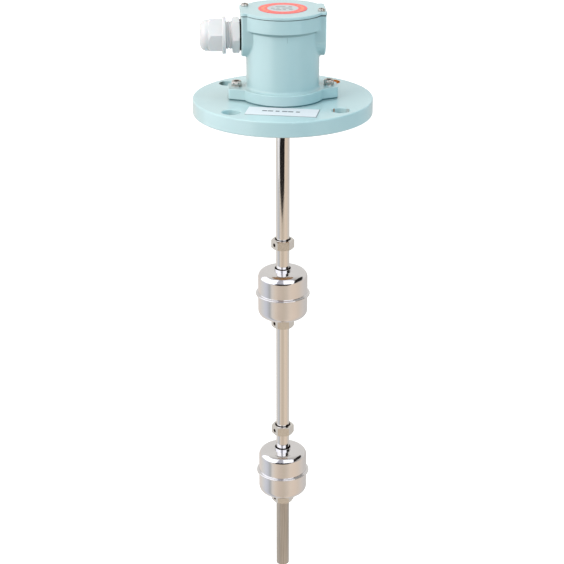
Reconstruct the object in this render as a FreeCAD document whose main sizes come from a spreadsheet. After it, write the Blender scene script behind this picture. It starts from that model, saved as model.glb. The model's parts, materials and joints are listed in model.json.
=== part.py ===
import FreeCAD, Part
import math
import os

import Sketcher

# Float level switch: flange, terminal head with cable gland, stem and two magnetic floats.
# Origin: centre of the flange's underside, on the stem's axis. +Z points up, the stem hangs down.
# The cable gland points along -X. Millimetres throughout.

DOC = FreeCAD.newDocument("float_level_switch")
DIMS = DOC.addObject("Spreadsheet::Sheet", "dims")
NODES = []

DIMENSIONS = [
    # mounting flange
    ("flange_diameter", 180, "Flange outer diameter"),
    ("flange_thickness", 16, "Flange thickness"),
    ("flange_round", 1.5, "Radius on the flange's two rim edges"),
    ("bolt_inset", 15, "Bolt holes' centres set in from the flange's edge"),
    ("bolt_hole", 18, "Bolt hole diameter"),
    ("bolt_bevel", 0.7, "Bevel at each mouth of a bolt hole"),
    ("stem_fit", 0.1, "Gap all round the stem where it is held"),
    # stem
    ("stem_diameter", 14, "Stem tube outer diameter"),
    ("stem_wall", 1.5, "Stem tube wall"),
    ("stem_length", 527, "Stem length below the flange's underside"),
    ("stem_rise", 31, "Stem height above the flange's underside"),
    ("plug_cap", 3, "Thickness of the end plug's cap"),
    ("plug_spigot", 6, "Length of the end plug's spigot"),
    ("plug_bevel", 1.2, "Bevel round the end plug"),
    # head casting, measured up from its own base
    ("gasket_thickness", 1.5, "Base gasket thickness"),
    ("gasket_inset", 1, "Base gasket set back from the casting's edge"),
    ("gasket_bore", 20, "Base gasket bore round the stem"),
    ("base_step", 5.75, "Head base ring beyond the barrel, all round"),
    ("base_thickness", 10, "Head base ring thickness"),
    ("base_round", 0.8, "Radius along the base's top edge"),
    ("base_cove", 2.5, "Cove between base and barrel"),
    ("ear_length", 12.4, "Base ear tip beyond the base ring"),
    ("ear_tip_width", 21, "Base ear width at its tip"),
    ("ear_root_inset", 12, "Where the ear's flanks start, inside the base ring's edge"),
    ("ear_root_width", 40.5, "Base ear width there"),
    ("ear_round", 3, "Radius on the ear tip's corners"),
    ("barrel_diameter", 72.5, "Head barrel diameter"),
    ("barrel_wall", 4.2, "Head barrel wall"),
    ("floor_thickness", 6, "Head floor thickness"),
    ("band_step", 4.75, "Band below the lid beyond the barrel, all round"),
    ("band_height", 14, "Height of the band below the lid"),
    ("band_cove", 3, "Cove below the band"),
    ("band_round", 0.8, "Radius on the band's lower edge"),
    ("head_height", 83.7, "Head casting height"),
    ("entry_drop", 22.2, "Cable entry axis below the casting's top"),
    ("boss_step", 4.95, "Cable entry boss face beyond the barrel"),
    ("boss_width", 42, "Cable entry boss width"),
    ("boss_round", 1.5, "Radius round the boss faces"),
    ("boss_root", 2, "Radius where a boss meets the barrel"),
    # screws that hold the head
    ("ear_screw_inset", 8.4, "Head screw set in from the base ear's tip"),
    ("base_screw", 6, "Head screw diameter"),
    ("base_screw_grip", 12, "Head screw thread in the flange"),
    ("base_screw_head", 10, "Head screw head diameter"),
    ("base_screw_rise", 4.2, "Head screw head height"),
    ("base_screw_round", 0.5, "Radius on the head screw's top edge"),
    ("base_screw_key", 5, "Head screw hexagon key size"),
    ("base_key_depth", 2.4, "Depth of the head screw's hexagon socket"),
    ("washer_diameter", 10.4, "Spring washer diameter"),
    ("washer_thickness", 1.3, "Spring washer thickness"),
    ("screw_gap", 0.1, "Gap all round a screw in its thread"),
    ("clear_gap", 0.3, "Gap all round a screw in a clearance hole"),
    ("overshoot", 1, "Depth of a blind hole past its screw, and of a cutting profile past a face"),
    # lid
    ("seal_thickness", 0.6, "Lid gasket thickness"),
    ("seal_width", 4, "Lid gasket width"),
    ("lid_overhang", 0.5, "Lid beyond the band, all round"),
    ("lid_thickness", 2.8, "Lid thickness"),
    ("lid_ear_overhang", 0.8, "Lid ear beyond the boss face"),
    ("lid_ear_round", 3, "Radius on the lid ear's corners"),
    ("lid_round", 0.8, "Radius round the lid's top edge"),
    ("lid_rim_depth", 4, "Depth of the rim below the lid"),
    ("lid_rim_wall", 2.5, "Wall of the rim below the lid"),
    ("lid_rim_gap", 0.3, "Gap between lid rim and barrel bore"),
    ("lid_screw", 4, "Lid screw diameter"),
    ("lid_screw_grip", 8, "Lid screw thread in the casting"),
    ("lid_screw_head", 7, "Lid screw head diameter"),
    ("lid_screw_rise", 2.6, "Lid screw head height"),
    ("lid_screw_inset", 4.5, "Lid screw set in from the boss face"),
    ("lid_screw_edge", 7.4, "Lid screw set in from the boss's side"),
    ("pan_share", 0.45, "Share of a pan head's height that is rounded"),
    ("cross_depth", 1.4, "Depth of a screw head's cross recess"),
    ("slot_share", 0.16, "Width of the cross recess as a share of the head's diameter"),
    ("span_share", 0.6, "Length of the cross recess as a share of the head's diameter"),
    # plates
    ("label_diameter", 48, "Round label diameter"),
    ("label_thickness", 0.3, "Round label thickness"),
    ("tag_length", 70, "Flange sticker length"),
    ("tag_width", 27, "Flange sticker width"),
    ("tag_thickness", 0.25, "Flange sticker thickness"),
    ("tag_gap", 0.5, "Flange sticker in front of the head's base ring"),
    ("tag_side", -3.7, "Flange sticker centre along the gland"),
    ("tag_angle", -12.2, "Flange sticker's turn about the stem, degrees"),
    # cable gland, measured outwards from the boss face
    ("gland_thread", 25, "Cable entry thread diameter"),
    ("gland_spigot", 8.5, "Length of the gland's thread in the boss"),
    ("gland_bore", 18, "Cable bore of the gland's seal"),
    ("gland_passage", 19, "Bore of the gland's body behind the seal"),
    ("gland_washer", 30.5, "Gland sealing washer diameter"),
    ("gland_washer_thickness", 1.6, "Gland sealing washer thickness"),
    ("gland_hexagon", 31, "Gland body hexagon size"),
    ("gland_hexagon_length", 7, "Gland body hexagon length"),
    ("gland_hexagon_angle", 25, "Turn of the gland body's hexagon, degrees"),
    ("gland_neck", 27, "Gland nut thread diameter"),
    ("gland_neck_end", 24, "Outer end of the gland body's neck"),
    ("gland_seal_wall", 1.6, "Wall of the rubber seal"),
    ("gland_seal_start", 12, "Inner end of the rubber seal"),
    ("gland_seal_end", 25.4, "Outer end of the rubber seal"),
    ("nut_start", 15, "Inner end of the gland nut"),
    ("nut_collar", 36.4, "Gland nut collar diameter"),
    ("nut_collar_length", 3.6, "Gland nut collar length"),
    ("nut_collar_round", 0.9, "Radius on the gland nut collar's edges"),
    ("nut_hexagon", 30.5, "Gland nut hexagon size"),
    ("nut_hexagon_length", 13.6, "Gland nut hexagon length"),
    ("nut_hexagon_angle", 41, "Turn of the gland nut's hexagon, degrees"),
    ("nut_dome", 8.2, "Height of the gland nut's dome"),
    ("nut_dome_inset", 0.15, "Step all round between the nut's flats and its dome"),
    ("nut_dome_round", 6.7, "Radius of the gland nut's dome"),
    ("nut_bevel_rise", 2.4, "Bevel on the gland nut's corners, below its dome"),
    ("nut_gap", 0.3, "Gap all round the neck in the nut"),
    ("nut_chamber", 16.2, "Depth of the nut's threaded chamber"),
    ("ring_thickness", 2, "Gland slip ring thickness"),
    ("ring_gap", 0.3, "Gap between slip ring and nut"),
    ("gland_chamfer", 1.2, "Bevel on the gland body's hexagon corners"),
    ("bevel_share", 0.97, "Where a hexagon's bevel starts, as a share of its size over the flats"),
    # floats and stops
    ("float_diameter", 52, "Float diameter"),
    ("float_height", 52, "Float height over its shells"),
    ("float_round", 8, "Float shoulder radius"),
    ("float_skin", 0.8, "Float shell thickness"),
    ("bead_diameter", 56.8, "Diameter over the float's welded bead"),
    ("bead_thickness", 2.4, "Thickness of the float's welded bead"),
    ("bead_round", 1, "Radius on the bead's edges"),
    ("bead_root", 0.7, "Radius where the bead meets the float's wall"),
    ("sleeve_diameter", 17.6, "Float sleeve outer diameter"),
    ("sleeve_wall", 1, "Float sleeve wall"),
    ("sleeve_reach", 2, "Float sleeve beyond each shell"),
    ("fixed_gap", 0.02, "Gap between pieces that are welded, pressed or bonded together"),
    ("magnet_diameter", 32, "Ring magnet diameter"),
    ("magnet_height", 10, "Ring magnet height"),
    ("magnet_gap", 0.3, "Gap round the sleeve in the magnet"),
    ("clip_diameter", 23, "Magnet retaining ring diameter"),
    ("clip_thickness", 1.2, "Magnet retaining ring thickness"),
    ("upper_float_drop", 196.5, "Upper float centre below the flange's underside, at rest"),
    ("upper_float_travel", 22, "Upper float travel"),
    ("lower_float_drop", 407, "Lower float centre below the flange's underside, at rest"),
    ("lower_float_travel", 17, "Lower float travel"),
    ("stop_hexagon", 21, "Stop collar hexagon size"),
    ("stop_height", 10, "Stop collar height"),
    ("stop_angle", 30, "Turn of a stop collar's hexagon from its grub screw, degrees"),
    ("stop_bevel", 1, "Height of the bevel on a stop collar"),
    ("stop_mouth", 0.8, "Bevel at each mouth of a stop collar's bore"),
    ("rest_gap", 0.3, "Gap between a float and its stop"),
    ("grub_diameter", 4, "Stop collar grub screw diameter"),
    ("grub_key", 2, "Grub screw hexagon key size"),
    ("grub_key_depth", 1.4, "Depth of the grub screw's hexagon socket"),
    ("grub_angle", 210, "Side of the grub screws round the stem, degrees"),
    # switch insert
    ("board_width", 10.2, "Reed board width"),
    ("board_thickness", 1.2, "Reed board thickness"),
    ("board_rise", 36, "Reed board top above the flange's underside"),
    ("capsule_diameter", 2.2, "Reed capsule diameter"),
    ("capsule_length", 14, "Reed capsule length"),
    ("capsule_wall", 0.3, "Reed capsule glass wall"),
    ("capsule_gap", 0.1, "Gap between capsule and board"),
    ("reed_wire", 0.5, "Reed blade diameter"),
    ("reed_tail", 7, "Reed blade length outside the capsule"),
    ("reed_gap", 0.3, "Gap between the two blades"),
    # terminals
    ("pedestal_height", 12, "Terminal pedestal height above the floor"),
    ("pedestal_length", 38, "Terminal pedestal length"),
    ("pedestal_reach", 17, "Terminal centre behind the stem's axis"),
    ("block_depth", 11, "Terminal block depth"),
    ("block_height", 13, "Terminal block height"),
    ("block_tab", 6.4, "Length of each terminal block foot"),
    ("block_tab_height", 4, "Height of each terminal block foot"),
    ("pole_pitch", 5.4, "Distance between poles"),
    ("pole_count", 4, "Number of poles"),
    ("wire_entry", 3.6, "Wire entry hole diameter"),
    ("entry_rise", 5, "Wire entry above the terminal block's foot"),
    ("clamp_size", 4.4, "Terminal clamp width and height"),
    ("clamp_length", 6, "Terminal clamp length"),
    ("clamp_wall_gap", 0.05, "Gap round a clamp in its pocket"),
    ("pole_screw", 3, "Terminal screw diameter"),
    ("pole_screw_gap", 0.6, "Gap all round a terminal screw in its well"),
    ("pole_screw_sink", 1, "Terminal screws below the block's top"),
    ("pole_slot", 0.6, "Width of the terminal screw's slot"),
    ("pole_slot_depth", 1, "Depth of the terminal screw's slot"),
    ("block_screw", 3, "Terminal block fixing screw diameter"),
    ("block_screw_head", 5.5, "Terminal block fixing screw head diameter"),
    ("block_screw_rise", 2, "Terminal block fixing screw head height"),
    ("block_screw_grip", 7, "Terminal block fixing screw thread"),
    ("lead_diameter", 1.2, "Lead wire diameter"),
    ("lead_bend", 6, "Lead wire bend radius"),
    ("lead_pitch", 2.4, "Distance between lead wires on the board"),
    ("lead_start", 33, "Lower end of the lead wires above the flange's underside"),
    ("lead_insert", 6.5, "Lead wire length inside the terminal"),
    ("lead_approach", 1.2, "Where a lead wire turns straight, in front of the terminal"),
    ("earth_reach", 21, "Earth screw in front of the stem's axis"),
    ("earth_pad", 11, "Earth pad diameter"),
    ("earth_pad_height", 3, "Earth pad height"),
    ("earth_screw", 4, "Earth screw diameter"),
    ("earth_screw_head", 8, "Earth screw head diameter"),
    ("earth_screw_rise", 2.6, "Earth screw head height"),
    ("earth_screw_grip", 6, "Earth screw thread"),
    ("earth_washer", 9, "Earth washer diameter"),
    ("earth_washer_thickness", 0.8, "Earth washer thickness"),
]

for row, (alias, value, meaning) in enumerate(DIMENSIONS, start=1):
    DIMS.set("A%d" % row, meaning)
    DIMS.set("B%d" % row, str(value))
    DIMS.setAlias("B%d" % row, alias)
DOC.recompute()


def size(alias):
    return float(getattr(DIMS, alias))


def worth(expression):
    """Value of an expression that is written with the sheet's names."""
    return float(DIMS.evalExpression(expression))


# ---------------------------------------------------------------- helpers

def bind(item, **expressions):
    """Bind properties to expressions; a double underscore stands for a dot in a property's path."""
    for path, expression in expressions.items():
        item.setExpression(path.replace("__", "."), expression)


def new_body(name, up="0", along="0", across="0"):
    body = DOC.addObject("PartDesign::Body", name)
    body.Label = name
    body.AllowCompound = True
    bind(body, Placement__Base__x=along, Placement__Base__y=across, Placement__Base__z=up)
    return body


def keep(item):
    """Mark a finished piece, which is written to a file named after its label."""
    NODES.append(item)


def new_sketch(body, name, role="XY_Plane", offset="0"):
    sketch = body.newObject("Sketcher::SketchObject", name)
    plane = next(feature for feature in body.Origin.OriginFeatures if feature.Role == role)
    sketch.AttachmentSupport = [(plane, "")]
    sketch.MapMode = "FlatFace"
    bind(sketch, AttachmentOffset__Base__z=offset)
    return sketch


def pin_point(sketch, geometry, point, across, up):
    """Fix one point of a sketch at the expressions (across, up) from the sketch's origin."""
    for kind, expression in (("DistanceX", across), ("DistanceY", up)):
        index = sketch.addConstraint(Sketcher.Constraint(kind, -1, 1, geometry, point, worth(expression)))
        sketch.setExpression("Constraints[%d]" % index, expression)


def add_outline(sketch, corners):
    """Closed polygon through the corners, each a pair of expressions."""
    count = len(corners)
    first = sketch.GeometryCount
    spots = [FreeCAD.Vector(worth(across), worth(up), 0) for across, up in corners]
    for number in range(count):
        sketch.addGeometry(Part.LineSegment(spots[number], spots[(number + 1) % count]), False)
    for number in range(count):
        line = first + number
        following = first + (number + 1) % count
        sketch.addConstraint(Sketcher.Constraint("Coincident", line, 2, following, 1))
    for number, (across, up) in enumerate(corners):
        pin_point(sketch, first + number, 1, across, up)


def add_circle(sketch, diameter, across="0", up="0"):
    centre = FreeCAD.Vector(worth(across), worth(up), 0)
    circle = Part.Circle(centre, FreeCAD.Vector(0, 0, 1), worth(diameter) / 2)
    index = sketch.addGeometry(circle, False)
    pin_point(sketch, index, 3, across, up)
    limit = sketch.addConstraint(Sketcher.Constraint("Diameter", index, worth(diameter)))
    sketch.setExpression("Constraints[%d]" % limit, diameter)


def hexagon_corners(flats, turn="0"):
    """Corners of a hexagon of a given size over its flats, turned by an angle in degrees."""
    reach = "(%s) / 2 / cos(30 deg)" % flats
    corners = []
    for number in range(6):
        angle = "(%d deg + (%s) * 1 deg)" % (60 * number, turn)
        corners.append(("%s * cos(%s)" % (reach, angle), "%s * sin(%s)" % (reach, angle)))
    return corners


def box_corners(length, width, along="0", across="0"):
    corners = []
    for side, end in ((-1, -1), (1, -1), (1, 1), (-1, 1)):
        corners.append(("%s + (%d) * (%s) / 2" % (along, side, length),
                        "%s + (%d) * (%s) / 2" % (across, end, width)))
    return corners


def pad(body, name, sketch, length, down=False, midplane=False):
    feature = body.newObject("PartDesign::Pad", name)
    feature.Profile = sketch
    feature.Reversed = down
    feature.Midplane = midplane
    bind(feature, Length=length)
    DOC.recompute()
    return feature


def cut(body, name, sketch, length, up=False, midplane=False):
    """Pocket that must take material away: it points down unless told otherwise."""
    before = body.Shape.Volume
    feature = body.newObject("PartDesign::Pocket", name)
    feature.Profile = sketch
    feature.Reversed = up
    feature.Midplane = midplane
    bind(feature, Length=length)
    DOC.recompute()
    if feature.Shape.Volume > before - 1e-3:
        raise RuntimeError("%s of %s cuts nothing" % (name, body.Label))
    return feature


def turn(body, name, sketch, groove=False):
    kind = "PartDesign::Groove" if groove else "PartDesign::Revolution"
    before = body.Shape.Volume if groove else 0
    feature = body.newObject(kind, name)
    feature.Profile = sketch
    feature.ReferenceAxis = (sketch, ["V_Axis"])
    feature.Angle = 360
    DOC.recompute()
    if groove and feature.Shape.Volume > before - 1e-3:
        raise RuntimeError("%s of %s cuts nothing" % (name, body.Label))
    return feature


def soften(body, name, chosen, radius, bevel=False):
    """Fillet or chamfer the edges of the body's last feature for which chosen(edge) is true."""
    base = body.Tip
    edges = ["Edge%d" % number for number, edge in enumerate(base.Shape.Edges, start=1) if chosen(edge)]
    if not edges:
        raise RuntimeError("%s of %s finds no edge" % (name, body.Label))
    feature = body.newObject("PartDesign::Chamfer" if bevel else "PartDesign::Fillet", name)
    feature.Base = (base, edges)
    if bevel:
        bind(feature, Size=radius)
    else:
        bind(feature, Radius=radius)
    DOC.recompute()
    return feature


def near(first, second, tolerance=1e-3):
    return abs(first - second) < tolerance


def is_ring(edge, radius, height):
    """A circle about a vertical axis, of a given radius at a given height."""
    curve = edge.Curve
    return (isinstance(curve, Part.Circle) and near(curve.Radius, radius)
            and near(curve.Center.z, height) and near(abs(curve.Axis.z), 1))


def rings(*pairs):
    return lambda edge: any(is_ring(edge, radius, height) for radius, height in pairs)


def repeat_round(body, name, features, count):
    pattern = body.newObject("PartDesign::PolarPattern", name)
    pattern.Originals = features
    axis = next(feature for feature in body.Origin.OriginFeatures if feature.Role == "Z_Axis")
    pattern.Axis = (axis, [""])
    pattern.Angle = 360
    pattern.Occurrences = count
    body.Tip = pattern
    DOC.recompute()
    return pattern


def disc_body(name, diameter, height, bore=None, **place):
    """A round plate, tube or washer that stands on its own bottom face."""
    body = new_body(name, **place)
    sketch = new_sketch(body, name + "_profile")
    add_circle(sketch, diameter)
    if bore:
        add_circle(sketch, bore)
    pad(body, name + "_pad", sketch, height)
    return body


def bevel_hexagon(body, name, flats, bottom, top, rise, start=None):
    """Turn away the corners at both ends of a hexagon, as a lathe does, from a starting radius."""
    sketch = new_sketch(body, name, "XZ_Plane")
    inner = start or "(%s) / 2 * dims.bevel_share" % flats
    outer = "(%s) / 2 / cos(30 deg) + dims.overshoot" % flats
    slope = "(%s) * ((%s) - (%s)) / ((%s) / 2 / cos(30 deg) - (%s))" % (rise, outer, inner, flats, inner)
    add_outline(sketch, [(inner, top), (outer, top), (outer, "%s - %s" % (top, slope))])
    turn(body, name + "_top", sketch, groove=True)
    if bottom is not None:
        lower = new_sketch(body, name + "_foot", "XZ_Plane")
        add_outline(lower, [(inner, bottom), (outer, bottom), (outer, "%s + %s" % (bottom, slope))])
        turn(body, name + "_low", lower, groove=True)


HEAD_BASE = "dims.flange_thickness + dims.gasket_thickness"
HEAD_TOP = HEAD_BASE + " + dims.head_height"
LID_BASE = HEAD_TOP + " + dims.seal_thickness"
LID_TOP = LID_BASE + " + dims.lid_thickness"
CHAMBER = "(dims.barrel_diameter - 2 * dims.barrel_wall)"
STEM_HOLE = "dims.stem_diameter + 2 * dims.stem_fit"
BASE_RING = "(dims.barrel_diameter + 2 * dims.base_step)"
BAND = "(dims.barrel_diameter + 2 * dims.band_step)"
EAR_REACH = "(%s / 2 + dims.ear_length)" % BASE_RING
HEAD_SCREW_SPOTS = [("%d * (%s - dims.ear_screw_inset)" % (side, EAR_REACH), "0") for side in (-1, 1)]
BOSS_REACH = "(dims.barrel_diameter / 2 + dims.boss_step)"
ENTRY_HEIGHT = "(dims.head_height - dims.entry_drop)"
LID_EAR_REACH = "(%s + dims.lid_ear_overhang)" % BOSS_REACH
LID_SPOTS = [("%d * (%s - dims.lid_screw_inset)" % (side, BOSS_REACH),
              "%d * (dims.boss_width / 2 - dims.lid_screw_edge)" % -side) for side in (-1, 1)]
BLOCK_LENGTH = "(dims.pole_count * dims.pole_pitch)"
FIXING_SPOTS = [("%d * (%s + dims.block_tab) / 2" % (side, BLOCK_LENGTH), "0") for side in (-1, 1)]


# ---------------------------------------------------------------- flange and stem

def flange():
    body = new_body("flange")
    disc = new_sketch(body, "flange_disc")
    add_circle(disc, "dims.flange_diameter")
    add_circle(disc, STEM_HOLE)
    pad(body, "flange_pad", disc, "dims.flange_thickness")
    radius = size("flange_diameter") / 2
    soften(body, "flange_rim", rings((radius, 0), (radius, size("flange_thickness"))), "dims.flange_round")

    hole = new_sketch(body, "bolt_hole_sketch", offset="dims.flange_thickness")
    leg = "(dims.flange_diameter / 2 - dims.bolt_inset) * cos(45 deg)"
    add_circle(hole, "dims.bolt_hole", leg, leg)
    drilled = cut(body, "bolt_hole_cut", hole, "dims.flange_thickness")
    repeat_round(body, "bolt_holes", [drilled], 4)

    tapped = new_sketch(body, "head_screw_sketch", offset="dims.flange_thickness")
    for along, across in HEAD_SCREW_SPOTS:
        add_circle(tapped, "dims.base_screw + 2 * dims.screw_gap", along, across)
    cut(body, "head_screw_holes", tapped, "dims.base_screw_grip + dims.overshoot")

    mouth = size("bolt_hole") / 2
    soften(body, "bolt_hole_mouths", rings((mouth, 0), (mouth, size("flange_thickness"))),
           "dims.bolt_bevel", bevel=True)
    keep(body)


def stem():
    drop = "-dims.stem_length + dims.plug_cap"
    tube = disc_body("stem_tube", "dims.stem_diameter",
                     "dims.stem_length - dims.plug_cap + dims.stem_rise",
                     bore="dims.stem_diameter - 2 * dims.stem_wall", up=drop)
    keep(tube)

    plug = new_body("stem_end_plug", up="-dims.stem_length")
    cap = new_sketch(plug, "plug_cap_sketch")
    add_circle(cap, "dims.stem_diameter")
    pad(plug, "plug_cap_pad", cap, "dims.plug_cap")
    soften(plug, "plug_edge", rings((size("stem_diameter") / 2, 0)), "dims.plug_bevel", bevel=True)
    spigot = new_sketch(plug, "plug_spigot_sketch", offset="dims.plug_cap")
    add_circle(spigot, "dims.stem_diameter - 2 * dims.stem_wall - 2 * dims.fixed_gap")
    pad(plug, "plug_spigot_pad", spigot, "dims.plug_spigot")
    keep(plug)


# ---------------------------------------------------------------- head casting

def base_outline(body, name, inset, height):
    """The base ring with its two tapered ears, each set in by the same amount."""
    ring = new_sketch(body, name + "_ring")
    add_circle(ring, "%s - 2 * (%s)" % (BASE_RING, inset))
    pad(body, name + "_ring_pad", ring, height)
    tip_reach = "(%s - (%s))" % (EAR_REACH, inset)
    root_reach = "(%s / 2 - dims.ear_root_inset)" % BASE_RING
    tip_half = "(dims.ear_tip_width / 2 - (%s))" % inset
    root_half = "(dims.ear_root_width / 2 - (%s))" % inset
    ears = new_sketch(body, name + "_ears")
    add_outline(ears, [
        ("-" + tip_reach, "-" + tip_half),
        ("-" + root_reach, "-" + root_half),
        (root_reach, "-" + root_half),
        (tip_reach, "-" + tip_half),
        (tip_reach, tip_half),
        (root_reach, root_half),
        ("-" + root_reach, root_half),
        ("-" + tip_reach, tip_half),
    ])
    return pad(body, name + "_ears_pad", ears, height)


def base_gasket():
    body = new_body("base_gasket", up="dims.flange_thickness")
    base_outline(body, "gasket", "dims.gasket_inset", "dims.gasket_thickness")
    holes = new_sketch(body, "gasket_holes", offset="dims.gasket_thickness")
    add_circle(holes, "dims.gasket_bore")
    for along, across in HEAD_SCREW_SPOTS:
        add_circle(holes, "dims.base_screw + 2 * dims.clear_gap", along, across)
    cut(body, "gasket_cut", holes, "dims.gasket_thickness")
    keep(body)


def is_upright(edge, reach, half_width):
    """A vertical edge at a corner of a plan that is symmetrical about both axes."""
    centre = edge.CenterOfMass
    low, high = edge.BoundBox.ZMin, edge.BoundBox.ZMax
    return high - low > 1 and near(abs(centre.x), reach, 0.01) and near(abs(centre.y), half_width, 0.01)


def head_housing():
    body = new_body("head_housing", up=HEAD_BASE)
    base_outline(body, "base", "0", "dims.base_thickness")
    soften(body, "ear_corners",
           lambda edge: is_upright(edge, worth(EAR_REACH), size("ear_tip_width") / 2), "dims.ear_round")
    top = size("base_thickness")
    soften(body, "base_edge",
           lambda edge: near(edge.BoundBox.ZMin, top) and near(edge.BoundBox.ZMax, top), "dims.base_round")

    # barrel and band, turned in one profile
    barrel = new_sketch(body, "barrel_profile", "XZ_Plane")
    under_band = "dims.head_height - dims.band_height"
    add_outline(barrel, [
        ("0", "dims.base_thickness / 2"),
        ("dims.barrel_diameter / 2", "dims.base_thickness / 2"),
        ("dims.barrel_diameter / 2", under_band),
        (BAND + " / 2", under_band),
        (BAND + " / 2", "dims.head_height"),
        ("0", "dims.head_height"),
    ])
    turn(body, "barrel", barrel)
    barrel_radius = size("barrel_diameter") / 2
    band_base = size("head_height") - size("band_height")
    soften(body, "base_cove_fillet", rings((barrel_radius, top)), "dims.base_cove")
    soften(body, "band_cove_fillet", rings((barrel_radius, band_base)), "dims.band_cove")
    soften(body, "band_edge", rings((worth(BAND) / 2, band_base)), "dims.band_round")

    # cable entry bosses on both sides, round below and straight up to the lid
    rounds = new_sketch(body, "boss_round_sketch", "YZ_Plane")
    add_circle(rounds, "dims.boss_width", "0", ENTRY_HEIGHT)
    pad(body, "boss_rounds", rounds, "2 * " + BOSS_REACH, midplane=True)
    cheeks = new_sketch(body, "boss_cheek_sketch", "YZ_Plane")
    add_outline(cheeks, [
        ("-dims.boss_width / 2", ENTRY_HEIGHT),
        ("dims.boss_width / 2", ENTRY_HEIGHT),
        ("dims.boss_width / 2", "dims.head_height"),
        ("-dims.boss_width / 2", "dims.head_height"),
    ])
    pad(body, "boss_cheeks", cheeks, "2 * " + BOSS_REACH, midplane=True)
    reach = worth(BOSS_REACH)
    rim = size("head_height")

    def on_boss_face(edge):
        box = edge.BoundBox
        flat = near(box.XMin, box.XMax) and near(abs(box.XMin), reach)
        return flat and not near(box.ZMin, rim)

    def on_boss_root(edge):
        low, high = edge.BoundBox.ZMin, edge.BoundBox.ZMax
        on_barrel = all(near(math.hypot(spot.x, spot.y), barrel_radius, 0.02) for spot in edge.discretize(5))
        return on_barrel and high - low > 1 and low > worth(ENTRY_HEIGHT) - size("boss_width")

    soften(body, "boss_edges", on_boss_face, "dims.boss_round")
    soften(body, "boss_roots", on_boss_root, "dims.boss_root")

    chamber = new_sketch(body, "chamber_sketch", offset="dims.head_height")
    add_circle(chamber, CHAMBER)
    cut(body, "chamber", chamber, "dims.head_height - dims.floor_thickness")
    stem_hole = new_sketch(body, "stem_hole_sketch", offset="dims.floor_thickness")
    add_circle(stem_hole, STEM_HOLE)
    cut(body, "stem_hole", stem_hole, "dims.floor_thickness")

    entry = new_sketch(body, "entry_sketch", "YZ_Plane")
    add_circle(entry, "dims.gland_thread", "0", ENTRY_HEIGHT)
    cut(body, "cable_entry", entry, BOSS_REACH + " + dims.overshoot")

    ear_holes = new_sketch(body, "ear_hole_sketch", offset="dims.base_thickness")
    for along, across in HEAD_SCREW_SPOTS:
        add_circle(ear_holes, "dims.base_screw + 2 * dims.clear_gap", along, across)
    cut(body, "ear_holes", ear_holes, "dims.base_thickness")

    lid_holes = new_sketch(body, "lid_hole_sketch", offset="dims.head_height")
    for along, across in LID_SPOTS:
        add_circle(lid_holes, "dims.lid_screw + 2 * dims.screw_gap", along, across)
    cut(body, "lid_holes", lid_holes, "dims.lid_screw_grip + dims.overshoot")

    # inside: a pedestal for the terminals and a pad for the earth screw, both cast with the floor
    pedestal = new_sketch(body, "pedestal_sketch", offset="dims.floor_thickness")
    corners = box_corners("dims.pedestal_length", "dims.block_depth", across="dims.pedestal_reach")
    add_outline(pedestal, corners)
    pad(body, "pedestal", pedestal, "dims.pedestal_height")
    earth = new_sketch(body, "earth_pad_sketch", offset="dims.floor_thickness")
    add_circle(earth, "dims.earth_pad", "0", "-dims.earth_reach")
    pad(body, "earth_pad", earth, "dims.earth_pad_height")

    block_holes = new_sketch(body, "block_hole_sketch", offset="dims.floor_thickness + dims.pedestal_height")
    for along, across in FIXING_SPOTS:
        add_circle(block_holes, "dims.block_screw + 2 * dims.screw_gap", along,
                   across + " + dims.pedestal_reach")
    cut(body, "block_holes", block_holes, "dims.block_screw_grip + dims.overshoot")
    earth_hole = new_sketch(body, "earth_hole_sketch", offset="dims.floor_thickness + dims.earth_pad_height")
    add_circle(earth_hole, "dims.earth_screw + 2 * dims.screw_gap", "0", "-dims.earth_reach")
    cut(body, "earth_hole", earth_hole, "dims.earth_screw_grip + dims.overshoot")
    keep(body)


def hexagon_sockets(body, name, key, top, depth, spots):
    """Hexagonal key recesses, sunk from a level into each screw head."""
    sketch = new_sketch(body, name, offset=top)
    for along, across in spots:
        corners = [("%s + %s" % (along, x), "%s + %s" % (across, y)) for x, y in hexagon_corners(key)]
        add_outline(sketch, corners)
    cut(body, name + "_cut", sketch, depth)


def cross_recesses(body, name, head, top, spots):
    """Cross recesses, each of two slots at right angles."""
    slot = "(%s) * dims.slot_share" % head
    span = "(%s) * dims.span_share" % head
    for number, (length, width) in enumerate(((span, slot), (slot, span))):
        sketch = new_sketch(body, "%s_%d" % (name, number), offset=top)
        for along, across in spots:
            add_outline(sketch, box_corners(length, width, along, across))
        cut(body, "%s_%d_cut" % (name, number), sketch, "dims.cross_depth")


def pan_screws(name, thread, spots, shank, **place):
    """Cross-recess screws that share one node; head and rise come from the thread's own dimensions."""
    body = new_body(name, **place)
    head, rise = "dims.%s_head" % thread, "dims.%s_rise" % thread
    heads = new_sketch(body, name + "_heads")
    shanks = new_sketch(body, name + "_shanks")
    for along, across in spots:
        add_circle(heads, head, along, across)
        add_circle(shanks, "dims." + thread, along, across)
    pad(body, name + "_head_pad", heads, rise)
    edges = rings((size(thread + "_head") / 2, size(thread + "_rise")))
    soften(body, name + "_head_edges", edges, rise + " * dims.pan_share")
    pad(body, name + "_shank_pad", shanks, shank, down=True)
    cross_recesses(body, name + "_cross", head, rise, spots)
    keep(body)


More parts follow.
